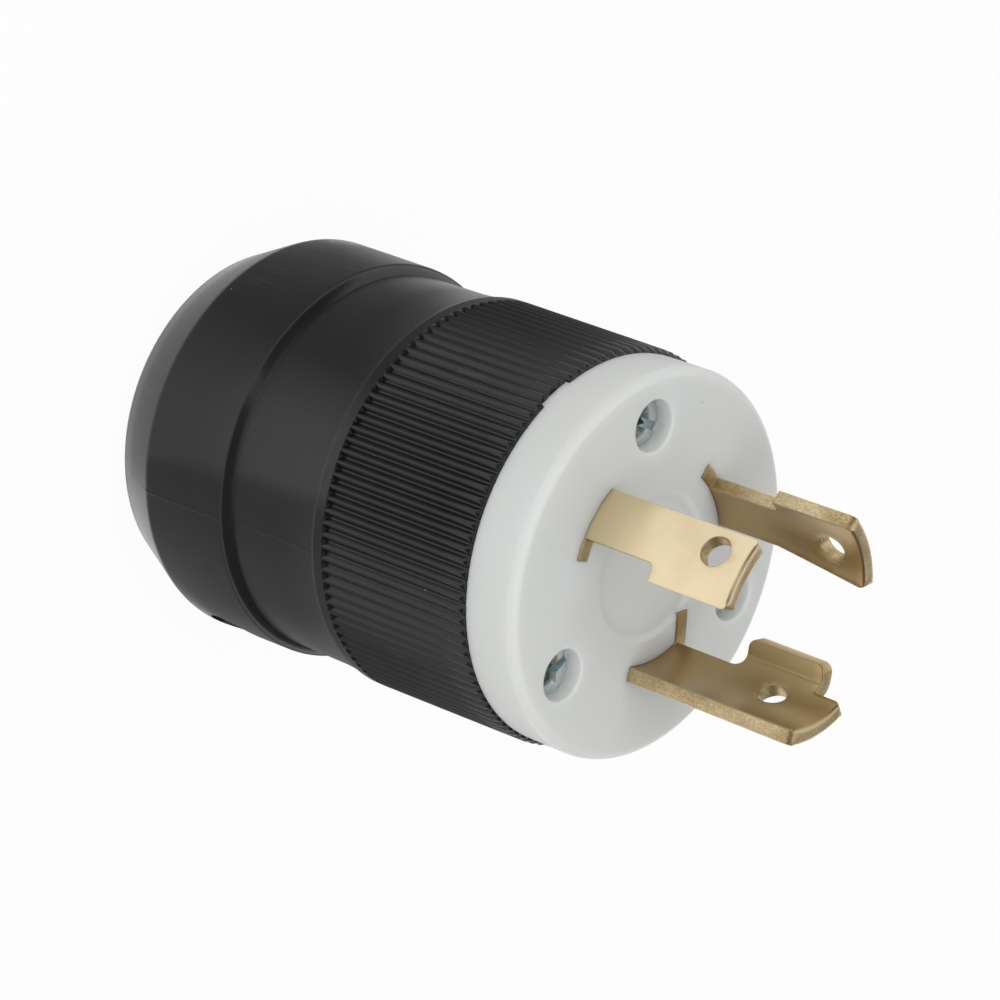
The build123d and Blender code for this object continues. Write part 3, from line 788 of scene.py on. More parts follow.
def shell_profile(sizes):
    """The closed section of the shell as (radius, level) points."""
    edge = sizes.edge_round
    crisp, bevel_round, seat_depth = 0.05 * MM, 1.8 * MM, 4 * MM
    curve_steps, rib_rows = 14, 6
    barrel_end = (sizes.rear_radius - sizes.barrel_draft, sizes.shoulder_start)
    waist_start = (sizes.waist_radius, sizes.shoulder_start + sizes.shoulder_length)
    waist_end = (sizes.waist_radius, sizes.flare_start)
    lip = (sizes.grip_radius - sizes.lip_rise, sizes.lip_start)
    ribs_start, ribs_end = (sizes.grip_radius, sizes.rib_start), (sizes.rib_end_radius, sizes.rib_end)
    line = rounded(
        [
            (sizes.entry_radius, sizes.rear_wall, 0),
            (sizes.entry_radius, 0, 1.6 * edge),
            (sizes.rear_end_radius, 0, 1.4 * edge),
            (sizes.rear_radius, sizes.bevel_length, bevel_round),
            (*barrel_end, 0),
        ],
        closed=False,
    )
    line += graded(barrel_end, waist_start, curve_steps, eased=True)
    line.append(Vector(waist_end))
    line += graded(waist_end, lip, curve_steps, eased=True)
    lip_top = sizes.lip_start + sizes.lip_edge
    groove_full = sizes.rib_start + sizes.groove_run
    levels = [lip_top, lip_top + crisp, sizes.rib_start - crisp, sizes.rib_start]
    levels += [groove_full, groove_full + crisp]
    line += [Vector((sizes.grip_radius, level)) for level in levels]
    line += graded(ribs_start, ribs_end, rib_rows)
    run_out = ((sizes.rib_end_radius + sizes.front_radius) / 2, (sizes.rib_end + sizes.front_level) / 2)
    line += [
        Vector(run_out),
        Vector((sizes.front_radius, sizes.front_level - crisp)),
        Vector((sizes.front_radius - crisp, sizes.front_level)),
        Vector((sizes.cavity_radius, sizes.front_level)),
        Vector((sizes.cavity_radius, sizes.front_level - seat_depth)),
        Vector((sizes.cavity_radius, sizes.bevel_length)),
        Vector((sizes.floor_radius, sizes.rear_wall)),
        Vector((sizes.entry_radius, sizes.rear_wall)),
    ]
    return line


def ribbed_turning():
    """A tree that turns a profile about the axis, sinks grooves between ribs and cuts the openings."""
    grow = Growth(
        "Ribbed turning",
        ("Columns", "Ribs"),
        (
            "Groove Depth", "Land", "Crest Radius", "Crest Taper", "Rib Start", "Groove Run", "Skin",
            "Seam Height", "Seam Start", "Seam End", "Hole Radius", "Hole Offset", "Hole Level",
            "Key Angle", "Key Width", "Key Level",
        ),
    )
    profile = grow.given("Geometry")
    columns = grow.given("Columns")
    count = grow.add("GeometryNodeAttributeDomainSize", {"component": "MESH"}, {"Geometry": profile})
    sheet = grow.add(
        "GeometryNodeMeshGrid",
        {},
        {"Size X": 1.0, "Size Y": 1.0, "Vertices X": columns + 1, "Vertices Y": count},
        output="Mesh",
    )
    across, along, _ = grow.position()
    share = across + 0.5
    row = ((along + 0.5) * (count - 1)).math("ROUND")
    point = grow.add(
        "GeometryNodeSampleIndex",
        {"data_type": "FLOAT_VECTOR", "domain": "POINT"},
        {"Geometry": profile, "Value": grow.add("GeometryNodeInputPosition"), "Index": row},
        output="Value",
    )
    radius = grow.add("ShaderNodeSeparateXYZ", {}, {0: point})
    level = radius.other("Z")
    pitch = grow.given("Crest Radius") * FULL_TURN / grow.given("Ribs")
    phase = (share * grow.given("Ribs")).math("FRACT")
    off_groove = phase.math("MINIMUM", 1 - phase) * pitch
    sunk = (1 - off_groove / ((pitch - grow.given("Land")) * 0.5)).math("MAXIMUM", 0.0)
    crest = grow.given("Crest Radius") - grow.given("Crest Taper") * (level - grow.given("Rib Start"))
    deep = ((level - grow.given("Rib Start")) / grow.given("Groove Run")).math("MINIMUM", 1.0)
    groove = crest - grow.given("Groove Depth") * sunk * deep
    outside = radius > grow.given("Skin")
    ribbed = outside * (level > grow.given("Rib Start"))
    grooved = ribbed * radius.math("MINIMUM", groove) + (1 - ribbed) * radius
    off_seam = abs((share * 2 + 0.5).math("FRACT") - 0.5)
    on_seam = (
        (off_seam * columns < 1)
        * outside
        * (level > grow.given("Seam Start"))
        * (level < grow.given("Seam End"))
    )
    final = grooved + on_seam * grow.given("Seam Height")
    angle = share * FULL_TURN
    bent = grow.add(
        "GeometryNodeSetPosition",
        {},
        {
            "Geometry": sheet,
            "Position": grow.vector(final * angle.math("COSINE"), final * angle.math("SINE"), level),
        },
    )
    shut = grow.add("GeometryNodeMergeByDistance", {}, {"Geometry": bent, "Distance": 1e-6})
    bore_depth, bore_middle = 16 * MM, 22 * MM
    bore = grow.add(
        "GeometryNodeMeshCylinder",
        {},
        {"Vertices": 72, "Radius": grow.given("Hole Radius"), "Depth": bore_depth},
        output="Mesh",
    )
    holes = [
        grow.moved(
            bore,
            grow.vector(grow.given("Hole Offset") * side, bore_middle * side, grow.given("Hole Level")),
            (math.pi / 2, 0, 0),
        )
        for side in (-1, 1)
    ]
    notch_depth, notch_height = 8 * MM, 2 * MM
    notch_width = grow.given("Crest Radius") * grow.given("Key Width")
    notch = grow.add(
        "GeometryNodeMeshCube",
        {},
        {"Size": grow.vector(notch_depth, notch_width, notch_height)},
        output="Mesh",
    )
    notch_level = grow.given("Key Level") + notch_height / 2
    notch = grow.moved(notch, grow.vector(grow.given("Crest Radius"), 0.0, notch_level))
    notch = grow.moved(notch, rotation=grow.vector(0.0, 0.0, grow.given("Key Angle")))
    opened = grow.cut(shut, [*holes, notch])
    crease, below_ribs = math.radians(32), 0.2 * MM
    _, _, height = grow.position()
    sharp = (grow.edge_angle() > crease) * (height < grow.given("Rib Start") - below_ribs)
    return grow.finish(grow.shaded(opened, sharp))


class MakeShell(bpy.types.Operator):
    """Make the ribbed black shell with its seam, access holes and the guides inside"""

    bl_idname = "plug.shell"
    bl_label = "Ribbed shell"

    def execute(self, context):
        sizes = context.scene.plug.shell
        profile = [(r, 0, z) for r, z in shell_profile(sizes)]
        skin = (sizes.cavity_radius + sizes.front_radius) / 2
        taper = (sizes.grip_radius - sizes.rib_end_radius) / (sizes.rib_end - sizes.rib_start)
        notch_gap = 0.1 * MM
        shell = grown(
            "ribbed_shell",
            mesh_from("shell_profile", profile, []),
            ribbed_turning(),
            {
                "Columns": sizes.ribs * sizes.rib_columns,
                "Ribs": sizes.ribs,
                "Groove Depth": sizes.groove_depth,
                "Land": sizes.rib_land,
                "Crest Radius": sizes.grip_radius,
                "Crest Taper": taper,
                "Rib Start": sizes.rib_start,
                "Groove Run": sizes.groove_run,
                "Skin": skin,
                "Seam Height": sizes.seam_height,
                "Seam Start": sizes.bevel_length / 2,
                "Seam End": sizes.lip_start,
                "Hole Radius": sizes.hole_radius,
                "Hole Offset": sizes.hole_offset,
                "Hole Level": sizes.hole_level,
                "Key Angle": sizes.key_angle,
                "Key Width": sizes.key_width,
                "Key Level": sizes.front_level - sizes.key_depth - notch_gap,
                "Material": finish_for("black_nylon"),
            },
        )
        stand_for(shell, "black_nylon", HOUSING, "grip_shell")
        guides = linked("clamp_guides", mesh_from("clamp_guides", *gathered(*guide_blocks(sizes))))
        smoothed(guides.data, 30)
        stand_for(guides, "black_nylon", HOUSING)
        return {"FINISHED"}


def guide_blocks(sizes):
    """The two blocks on which the jaws slide, each with a channel for the ends of the jaws."""
    near, far = 17.0 * MM, 18.3 * MM
    base, channel_start, channel_end, top = 2.8 * MM, 6.2 * MM, 17.8 * MM, 20.0 * MM
    steps_in = [
        (near, base), (near, channel_start), (far, channel_start),
        (far, channel_end), (near, channel_end), (near, top),
    ]
    sunk_in_wall = 0.6 * MM
    wall = sizes.cavity_radius + sunk_in_wall
    steps = 24
    blocks = []
    for side in (0, math.pi):
        outlines = []
        for face, level in steps_in:
            reach = math.acos(face / wall)
            arc = [polar(wall, side - reach + 2 * reach * k / steps) for k in range(steps + 1)]
            outlines.append((arc, level))
        blocks.append(stacked(outlines))
    return blocks


# Blades


class Strip:
    """The developed plane of a blade: u runs along the sheet's middle, t through it from the hollow side."""

    def __init__(self, sizes, start, bend_angle=None, bend=0.0, tab_width=0.0):
        self.sizes = sizes
        self.bend = bend
        self.start = start
        self.radius = sizes.inner_radius + sizes.thickness / 2
        self.bend_at = None
        if bend_angle is not None:
            self.bend_at = bend_angle * self.radius
            self.bend_start = start + bend_angle
            self.bend_radius = sizes.tab_bend_radius + sizes.thickness / 2
            self.bend_length = bend * self.bend_radius
            self.centre = polar(sizes.inner_radius - sizes.tab_bend_radius, self.bend_start)
            self.reach = self.bend_at + self.bend_length + tab_width

    def width(self, angle):
        return angle * self.radius

    def place(self, u, t):
        """Where a point of the sheet lies after bending."""
        if self.bend_at is None or u <= self.bend_at:
            return polar(self.sizes.inner_radius + t, self.start + u / self.radius)
        bent = min((u - self.bend_at) / self.bend_radius, self.bend)
        spot = self.centre + polar(self.sizes.tab_bend_radius + t, self.bend_start + bent)
        beyond = max(0.0, u - self.bend_at - self.bend_length)
        return spot + polar(beyond, self.bend_start + bent + math.pi / 2)

    def section(self, begin, end, clearance):
        """The outline of the bent sheet between two places along it, with a gap around it."""
        steps = 40
        low, high = begin - clearance, end + clearance
        along = [low + (high - low) * k / steps for k in range(steps + 1)]
        if self.bend_at is not None:
            along += [self.bend_at + self.bend_length * k / 8 for k in range(9)]
        along.sort()
        outer = [self.place(u, self.sizes.thickness + clearance) for u in along]
        inner = [self.place(u, -clearance) for u in along]
        return outer + inner[::-1]


def circle(centre, radius, steps=40):
    return [centre + polar(radius, FULL_TURN * k / steps) for k in range(steps)]


def inset(loop, distances):
    """A closed line moved to its left by a distance at each point."""
    made = []
    for i, here in enumerate(loop):
        back = (here - loop[i - 1]).normalized()
        ahead = (loop[(i + 1) % len(loop)] - here).normalized()
        left = Vector((-back.y - ahead.y, back.x + ahead.x)).normalized()
        stretch = max(0.35, left.dot(Vector((-back.y, back.x))))
        made.append(here + left * (distances[i] / stretch))
    return made


def dense(loop, pitch):
    """A closed line with points no further apart than a pitch."""
    made = []
    for i, here in enumerate(loop):
        step = loop[(i + 1) % len(loop)] - here
        parts = max(1, math.ceil(step.length / pitch))
        made += [here + step * (k / parts) for k in range(parts)]
    return made


class Stamping:
    """The mesh of one stamped sheet, laid out in the developed plane and bent point by point."""

    edge_steps = 3
    edge_pitch = 0.5 * MM
    net = 0.55 * MM

    def __init__(self, strip):
        self.strip = strip
        self.thickness = strip.sizes.thickness
        self.points = []
        self.faces = []
        self.marks = {"sheared": [], "hollow": []}

    def put(self, spot, t, sheared):
        """Adds a point at a place of the sheet and a depth through it, and gives its number."""
        x, y = self.strip.place(spot.x, t)
        self.points.append((x, y, spot.y))
        self.marks["sheared"].append(sheared)
        self.marks["hollow"].append(1 - t / self.thickness)
        return len(self.points) - 1

    def add_edge(self, loop, amounts):
        """Rings of points around one edge, from the hollow side to the outer side, with their faces."""
        profile = quarter_round(self.edge_steps)
        rows = []
        for outer in (False, True):
            for depth, back in reversed(profile) if outer else profile:
                ring = inset(loop, [back * a for a in amounts])
                row = []
                for spot, amount in zip(ring, amounts):
                    t = self.thickness - depth * amount if outer else depth * amount
                    row.append(self.put(spot, t, min(1.0, depth * 1.2)))
                rows.append(row)
        for low, high in zip(rows, rows[1:]):
            for k in range(len(loop)):
                n = (k + 1) % len(loop)
                self.faces.append((low[k], low[n], high[n], high[k]))
        return inset(loop, amounts), rows[0], rows[-1]

    def net_points(self, border):
        """Points inside the outline, in columns that stand closer along the bend."""
        strip, net = self.strip, self.net
        around = np.array([tuple(p) for p in border])
        low, high = around.min(axis=0), around.max(axis=0)
        columns = np.arange(low[0] + net / 2, high[0], net)
        if strip.bend_at is not None:
            fine = np.linspace(strip.bend_at, strip.bend_at + strip.bend_length, 9)
            before = columns[columns < strip.bend_at - net / 3]
            after = columns[columns > fine[-1] + net / 3]
            columns = np.concatenate([before, fine, after])
        rows = np.arange(low[1] + net / 2, high[1], 2 * net)
        return [
            Vector((u, v))
            for u in columns
            for v in rows
            if np.min(np.hypot(around[:, 0] - u, around[:, 1] - v)) > net / 2
        ]

    def fill(self, rims):
        """Fills the two faces of the sheet between its edges with a net that can follow the bend."""
        flat, edges, loops, ends = [], [], [], []
        for ring, inner_row, outer_row in rims:
            numbers = list(range(len(flat), len(flat) + len(ring)))
            edges += zip(numbers, numbers[1:] + numbers[:1])
            loops.append(numbers)
            ends += zip(inner_row, outer_row)
            flat += ring
        border = len(flat)
        flat += self.net_points(flat)
        scale = 1 / MM
        spots, _, triangles, origins, _, _ = delaunay_2d_cdt([p * scale for p in flat], edges, loops, 2, 1e-7)
        pairs = []
        for spot, sources in zip(spots, origins):
            source = next((o for o in sources if o < border), None)
            if source is None:
                place = spot / scale
                pairs.append((self.put(place, 0.0, 0.0), self.put(place, self.thickness, 0.0)))
            else:
                pairs.append(ends[source])
        for a, b, c in triangles:
            self.faces.append((pairs[a][0], pairs[c][0], pairs[b][0]))
            self.faces.append((pairs[a][1], pairs[b][1], pairs[c][1]))

    def piece(self, name):
        """The finished object, with the numbers that its finish reads."""
        mesh = mesh_from(name, self.points, self.faces)
        shaped = bmesh.new()
        shaped.from_mesh(mesh)
        used = {v for f in shaped.faces for v in f.verts}
        kept = [v.index for v in shaped.verts if v in used]
        bmesh.ops.delete(shaped, geom=[v for v in shaped.verts if v not in used], context="VERTS")
        bmesh.ops.recalc_face_normals(shaped, faces=shaped.faces)
        shaped.to_mesh(mesh)
        shaped.free()
        for label, values in self.marks.items():
            mark(mesh, label, [values[i] for i in kept])
        smoothed(mesh, 40)
        return linked(name, mesh)


def bent_plate(name, strip, outline, holes, bevel_at):
    """A stamped sheet: outline and holes in the developed plane, rounded edges, bent to its shape."""
    sheet = Stamping(strip)
    loops = [dense(outline, sheet.edge_pitch)] + [list(reversed(hole)) for hole in holes]
    sheet.fill([sheet.add_edge(loop, [bevel_at(p) for p in loop]) for loop in loops])
    return sheet.piece(name)


def mark(mesh, label, values):
    """Keeps one number for each point of a mesh, which its finish reads."""
    layer = mesh.attributes.new(label, "FLOAT", "POINT")
    layer.data.foreach_set("value", values)


def line_outline(sizes, face, strip, flare):
    """The outline of a line blade in the developed plane, from the tail to the hook and the flared edge."""
    foot, neck, hook = (strip.width(a) for a in (sizes.foot_angle, sizes.neck_angle, sizes.hook_angle))
    shoulder = strip.width(sizes.shoulder_angle)
    corner = sizes.corner_round
    foot_top = face.level + sizes.foot_height
    foot_round = 0.1 * MM
    hook_level = face.level + sizes.hook_height
    return rounded(
        [
            (-shoulder, sizes.tail_level, corner),
            (foot + shoulder, sizes.tail_level, corner),
            (foot + shoulder, face.rear_level, corner / 2),
            (foot, face.rear_level, 0),
            (foot, foot_top, foot_round),
            (neck, foot_top, foot_round),
            (neck, hook_level, 1.5 * corner),
            (hook, hook_level, corner / 2),
            (hook, sizes.tip_level, sizes.tip_corner),
            (-strip.width(flare), sizes.tip_level, sizes.tip_corner),
            (0, face.level + sizes.flare_height, corner),
            (0, face.rear_level, 0),
            (-shoulder, face.rear_level, corner / 2),
        ]
    )


def ground_outline(sizes, face, strip):
    """The outline of the ground blade in the developed plane, with the tab at the hook."""
    plate, foot, neck, tip = (
        strip.width(a)
        for a in (
            sizes.ground_bend_angle,
            sizes.ground_foot_angle,
            sizes.ground_neck_angle,
            sizes.ground_tip_angle,
        )
    )
    shoulder = strip.width(sizes.shoulder_angle)
    corner = sizes.corner_round
    foot_top = face.level + sizes.foot_height
    tab_corner = 2.6 * corner
    tab_start = face.level + sizes.tab_start_height
    tab_end = face.level + sizes.tab_end_height
    return rounded(
        [
            (-shoulder, sizes.tail_level, corner),
            (plate + shoulder, sizes.tail_level, corner),
            (plate + shoulder, face.rear_level, 0),
            (foot, face.rear_level, 0),
            (foot, foot_top, 0),
            (neck, foot_top, 0),
            (neck, tab_start, tab_corner),
            (strip.reach, tab_start, tab_corner),
            (strip.reach, tab_end, tab_corner),
            (tip, tab_end, corner),
            (tip, sizes.ground_tip_level, sizes.tip_corner),
            (0, sizes.ground_tip_level, sizes.tip_corner),
            (0, face.rear_level, 0),
            (-shoulder, face.rear_level, corner / 2),
        ]
    )


def strips(sizes):
    """The three blades' developed planes by name."""
    return {
        "line_blade_x": Strip(sizes, sizes.line_x_angle),
        "line_blade_y": Strip(sizes, sizes.line_y_angle),
        "ground_blade": Strip(
            sizes, sizes.ground_angle, sizes.ground_bend_angle, sizes.tab_bend, sizes.tab_width
        ),
    }


def foot_strip(sizes):
    """The developed plane of the ground blade's foot, whose tab bends nearer to its start."""
    return Strip(
        sizes, sizes.ground_angle, sizes.ground_foot_angle, sizes.foot_tab_bend, sizes.foot_tab_width
    )


def make_foot_tab(sizes, face):
    """The tab of the ground blade's foot, which fills the end of its slot."""
    strip = foot_strip(sizes)
    begin, top = strip.bend_at - sizes.thickness / 2, face.level + sizes.foot_height
    edge, skin = sizes.edge_round / 2, 0.01 * MM
    solid = stacked(
        [
            (strip.section(begin, strip.reach, -skin), face.rear_level),
            (strip.section(begin, strip.reach, -skin), top - edge),
            (strip.section(begin, strip.reach, -skin - edge), top),
        ]
    )
    foot = linked("ground_foot_tab", mesh_from("ground_foot_tab", *solid))
    for label, value in (("sheared", 1.0), ("hollow", 0.5)):
        mark(foot.data, label, [value] * len(foot.data.vertices))
    smoothed(foot.data, 30)
    stand_for(foot, "brass", HOUSING)


class MakeBlades(bpy.types.Operator):
    """Make the three stamped blades"""

    bl_idname = "plug.blades"
    bl_label = "Blades"

    def execute(self, context):
        sizes, face = context.scene.plug.blades, context.scene.plug.face
        for name, strip in strips(sizes).items():
            ground = strip.bend_at is not None
            if ground:
                outline = ground_outline(sizes, face, strip)
            else:
                flare = sizes.flare_angle if name == "line_blade_y" else 0
                outline = line_outline(sizes, face, strip, flare)
            tip_edge = (sizes.ground_tip_level if ground else sizes.tip_level) - 0.05 * MM
            hole_angle = sizes.ground_hole_angle if ground else sizes.hole_angle
            hole_height = sizes.ground_hole_height if ground else sizes.hole_height
            width = sizes.ground_bend_angle if ground else sizes.foot_angle
            holes = [
                circle(Vector((strip.width(hole_angle), face.level + hole_height)), sizes.hole_radius),
                circle(Vector((strip.width(width / 2), sizes.terminal_level)), sizes.terminal_hole_radius),
            ]

            def bevel_at(spot):
                return sizes.tip_bevel if spot.y > tip_edge else sizes.edge_round

            blade = bent_plate(f"stamped_{name}", strip, outline, holes, bevel_at)
            stand_for(blade, "brass", HOUSING, name)
        make_foot_tab(sizes, face)
        return {"FINISHED"}


# The white face


def face_profile(face, shell):
    """The section of the white face as (radius, level) points, from the axis outwards and back."""
    soft = 0.25 * MM
    dish = face.level - face.dish_depth
    return rounded(
        [
            (0, face.rear_level, 0),
            (face.spigot_radius - face.spigot_wall, face.rear_level, 0),
            (face.spigot_radius - face.spigot_wall, face.spigot_level, 0),
            (face.spigot_radius, face.spigot_level, soft),
            (face.spigot_radius, shell.front_level, 0),
            (face.radius, shell.front_level, soft),
            (face.radius, face.level, face.rim_radius),
            (face.dish_radius, face.level, 4 * soft),
            (face.dish_radius - face.dish_slope, dish, 4 * soft),
            (0, dish, 0),
        ],
        steps=12,
        closed=False,
    )


def screw_places(face, screws):
    return [
        polar(face.screw_circle, screws.start_angle + FULL_TURN * k / screws.count)
        for k in range(screws.count)
    ]


def key_tab(face, shell):
    """The key on the rear of the flange, which sits in the shell's notch."""
    inner, outer = face.spigot_radius - face.spigot_wall / 2, face.radius - 0.01 * MM
    half = shell.key_width / 2
    steps = 12
    angles = [shell.key_angle - half + 2 * half * k / steps for k in range(steps + 1)]
    tab = [polar(outer, a) for a in angles] + [polar(inner, a) for a in reversed(angles)]
    return stacked([(tab, shell.front_level - shell.key_depth), (tab, shell.front_level + MM)])


def screw_column(face, place):
    """The column behind one screw hole."""
    ring = circle(place, face.column_radius)
    return stacked([(ring, face.spigot_level), (ring, face.rear_level + MM)])


def screw_bore(face, screws, place):
    """What is cut for one sunk screw hole, which is snug around the head and has a soft mouth."""
    below, above = face.spigot_level - MM, face.level + MM
    seat = face.level - face.counterbore_depth
    snug, shoulder = screws.head_radius + 0.03 * MM, screws.head_level - 0.42 * MM
    wide, soft = face.counterbore_radius, face.mouth_round
    line = [
        (0, below), (face.screw_hole_radius, below), (face.screw_hole_radius, seat),
        (snug, seat), (snug, shoulder), (wide, shoulder),
    ]
    line += [(wide + soft * out, face.level - soft * down) for out, down in quarter_round(6)]
    line += [(wide + soft, above), (0, above)]
    return placed(turned(line, 72), Matrix.Translation((*place, 0)))


def blade_slot(face, strip, end):
    """What is cut for the slot that one blade fills, with a slightly rounded mouth."""
    gap, lip = face.slot_clearance, face.slot_round
    outlines = [(strip.section(0, end, gap), face.spigot_level - MM)]
    for out, down in quarter_round(4):
        outlines.append((strip.section(0, end, gap + lip * out), face.level - lip * down))
    outlines.append((strip.section(0, end, gap + lip), face.level + MM))
    return stacked(outlines)


class MakeFace(bpy.types.Operator):
    """Make the white face with its rounded rim, dish, blade slots and sunk screw holes"""

    bl_idname = "plug.face"
    bl_label = "White face"

    def execute(self, context):
        plug = context.scene.plug
        face, shell, blades = plug.face, plug.shell, plug.blades
        columns_around = 288
        solid = turned(face_profile(face, shell), columns_around)
        piece = linked("white_face", mesh_from("white_face", *solid))
        places = screw_places(face, plug.screws)
        columns = [screw_column(face, place) for place in places]
        combined(piece, gathered(key_tab(face, shell), *columns), "UNION")
        bores = [screw_bore(face, plug.screws, place) for place in places]
        slots = []
        for strip in strips(blades).values():
            if strip.bend_at is None:
                slots.append(blade_slot(face, strip, strip.width(blades.foot_angle)))
            else:
                foot = foot_strip(blades)
                slots.append(blade_slot(face, foot, foot.reach))
        combined(piece, gathered(*bores, *slots), "DIFFERENCE")
        smoothed(piece.data, 12)
        stand_for(piece, "white_nylon", HOUSING, "front_body")
        return {"FINISHED"}


# Screws


def combination_screw():
    """A tree that puts a screw with a slot and a cross recess at each point, along the point's axis."""
    grow = Growth(
        "Combination screw",
        (),
        (
            "Head Radius", "Head Height", "Shank Radius", "Shank Length", "Slot Width", "Slot Depth",
            "Cross Radius", "Cross Depth", "Thread Pitch", "Thread Depth",
        ),
    )
    radius, height = grow.given("Head Radius"), grow.given("Head Height")
    head = grow.add(
        "GeometryNodeMeshCylinder",
        {"fill_type": "TRIANGLE_FAN"},
        {"Vertices": 72, "Side Segments": 6, "Fill Segments": 14, "Radius": radius, "Depth": height},
        output="Mesh",
    )
    x, y, z = grow.position()
    off_axis = (x * x + y * y).math("SQRT") / radius
    on_top = z > height * 0.499
    crown = (off_axis**2.0) * 0.10 + (off_axis**6.0) * 0.08
    head = grow.add(
        "GeometryNodeSetPosition",
        {},
        {"Geometry": head, "Offset": grow.vector(0.0, 0.0, on_top * crown * height * -1)},
    )
    head = grow.moved(head, grow.vector(0.0, 0.0, height * 0.5))
    slot = grow.add(
        "GeometryNodeMeshCube",
        {},
        {"Size": grow.vector(radius * 3, grow.given("Slot Width"), grow.given("Slot Depth") * 2)},
        output="Mesh",
    )
    slot = grow.moved(slot, grow.vector(0.0, 0.0, height))
    wing = grow.add(
        "GeometryNodeMeshCone",
        {},
        {
            "Vertices": 4,
            "Radius Top": grow.given("Cross Radius") * 1.15,
            "Radius Bottom": grow.given("Cross Radius") * 0.3,
            "Depth": grow.given("Cross Depth") + 0.3 * MM,
        },
        output="Mesh",
    )
    wing = grow.moved(wing, grow.vector(0.0, 0.0, height - grow.given("Cross Depth")), scale=(1, 0.42, 1))
    wings = [wing, grow.moved(wing, rotation=(0, 0, math.pi / 2))]
    head = grow.cut(head, [slot, *wings])
    run, tooth_radius = grow.given("Shank Length"), grow.given("Thread Depth") * 0.5
    core = grow.given("Shank Radius") - tooth_radius
    shank = grow.add(
        "GeometryNodeMeshCylinder", {}, {"Vertices": 32, "Radius": core, "Depth": run}, output="Mesh"
    )
    shank = grow.moved(shank, grow.vector(0.0, 0.0, run * -0.5))
    threaded = run * 0.86
    helix = grow.add(
        "GeometryNodeCurveSpiral",
        {},
        {
            "Resolution": 24,
            "Rotations": threaded / grow.given("Thread Pitch"),
            "Start Radius": core,
            "End Radius": core,
            "Height": threaded,
        },
    )
    tooth = grow.add(
        "GeometryNodeCurvePrimitiveCircle", {"mode": "RADIUS"}, {"Resolution": 3, "Radius": tooth_radius}
    )
    thread = grow.add(
        "GeometryNodeCurveToMesh", {}, {"Curve": helix, "Profile Curve": tooth, "Fill Caps": True}
    )
    thread = grow.moved(thread, grow.vector(0.0, 0.0, run * -0.95))
    screw = grow.add("GeometryNodeJoinGeometry", {}, {"Geometry": [head, shank, thread]})
    screw = grow.shaded(screw, grow.edge_angle() > math.radians(28))
    axis = grow.add(
        "GeometryNodeInputNamedAttribute", {"data_type": "FLOAT_VECTOR"}, {"Name": "axis"}, output="Attribute"
    )
    spin = grow.add(
        "GeometryNodeInputNamedAttribute", {"data_type": "FLOAT"}, {"Name": "spin"}, output="Attribute"
    )
    upright = grow.add("FunctionNodeAlignRotationToVector", {"axis": "Z"}, {"Vector": axis})
    own = grow.add("FunctionNodeEulerToRotation", {}, {"Euler": grow.vector(0.0, 0.0, spin)})
    facing = grow.add(
        "FunctionNodeRotateRotation", {"rotation_space": "LOCAL"}, {"Rotation": upright, "Rotate By": own}
    )
    spread = grow.add(
        "GeometryNodeInstanceOnPoints",
        {},
        {"Points": grow.given("Geometry"), "Instance": screw, "Rotation": facing},
    )
    return grow.finish(spread)


def screw_points(seats):
    """A mesh of points for screws, from (seat, axis, spin) of each."""
    mesh = mesh_from("screw_points", [tuple(seat) for seat, _, _ in seats], [])
    axis = mesh.attributes.new("axis", "FLOAT_VECTOR", "POINT")
    axis.data.foreach_set("vector", [c for _, direction, _ in seats for c in direction])
    spin = mesh.attributes.new("spin", "FLOAT", "POINT")
    spin.data.foreach_set("value", [angle for _, _, angle in seats])
    return mesh


def driven_screws(name, slot, body, seats, head, shank, *nodes):
    """One piece of like screws in place of their CAD nodes. Head and shank are (radius, length)."""
    if "Combination screw" not in bpy.data.node_groups:
        combination_screw()
    sizes = bpy.context.scene.plug.screws
    scale = head[0] / sizes.head_radius
    piece = grown(
        name,
        screw_points(seats),
        bpy.data.node_groups["Combination screw"],
        {
            "Head Radius": head[0],
            "Head Height": head[1],
            "Shank Radius": shank[0],
            "Shank Length": shank[1],
            "Slot Width": sizes.slot_width * scale,
            "Slot Depth": sizes.slot_depth * scale,
            "Cross Radius": sizes.cross_radius * scale,
            "Cross Depth": sizes.cross_depth * scale,
            "Thread Pitch": sizes.thread_pitch,
            "Thread Depth": sizes.thread_depth,
            "Material": finish_for(slot),
        },
    )
    stand_for(piece, slot, body, *nodes)


# How far the screws happen to be turned: the assembly screws in degrees, the others in radians
ASSEMBLY_SPINS = (152, 20, 110)
TERMINAL_SPIN = 0.4
CLAMP_SPIN = 0.5


class MakeAssemblyScrews(bpy.types.Operator):
    """Make the screws that hold the white face on the shell"""

    bl_idname = "plug.assembly_screws"
    bl_label = "Assembly screws"

    def execute(self, context):
        plug = context.scene.plug
        sizes = plug.screws
        seat = sizes.head_level - sizes.head_height
        spins = [math.radians(a) for a in ASSEMBLY_SPINS]
        seats = [
            ((*place, seat), (0, 0, 1), spins[k % len(spins)])
            for k, place in enumerate(screw_places(plug.face, sizes))
        ]
        driven_screws(
            "face_screws",
            "zinc_steel",
            HOUSING,
            seats,
            (sizes.head_radius, sizes.head_height),
            (sizes.shank_radius, seat - sizes.end_level),
            *[f"assembly_screw_{k + 1}" for k in range(sizes.count)],
        )
        dress("brass", *[f"threaded_insert_{k + 1}" for k in range(sizes.count)])
        return {"FINISHED"}


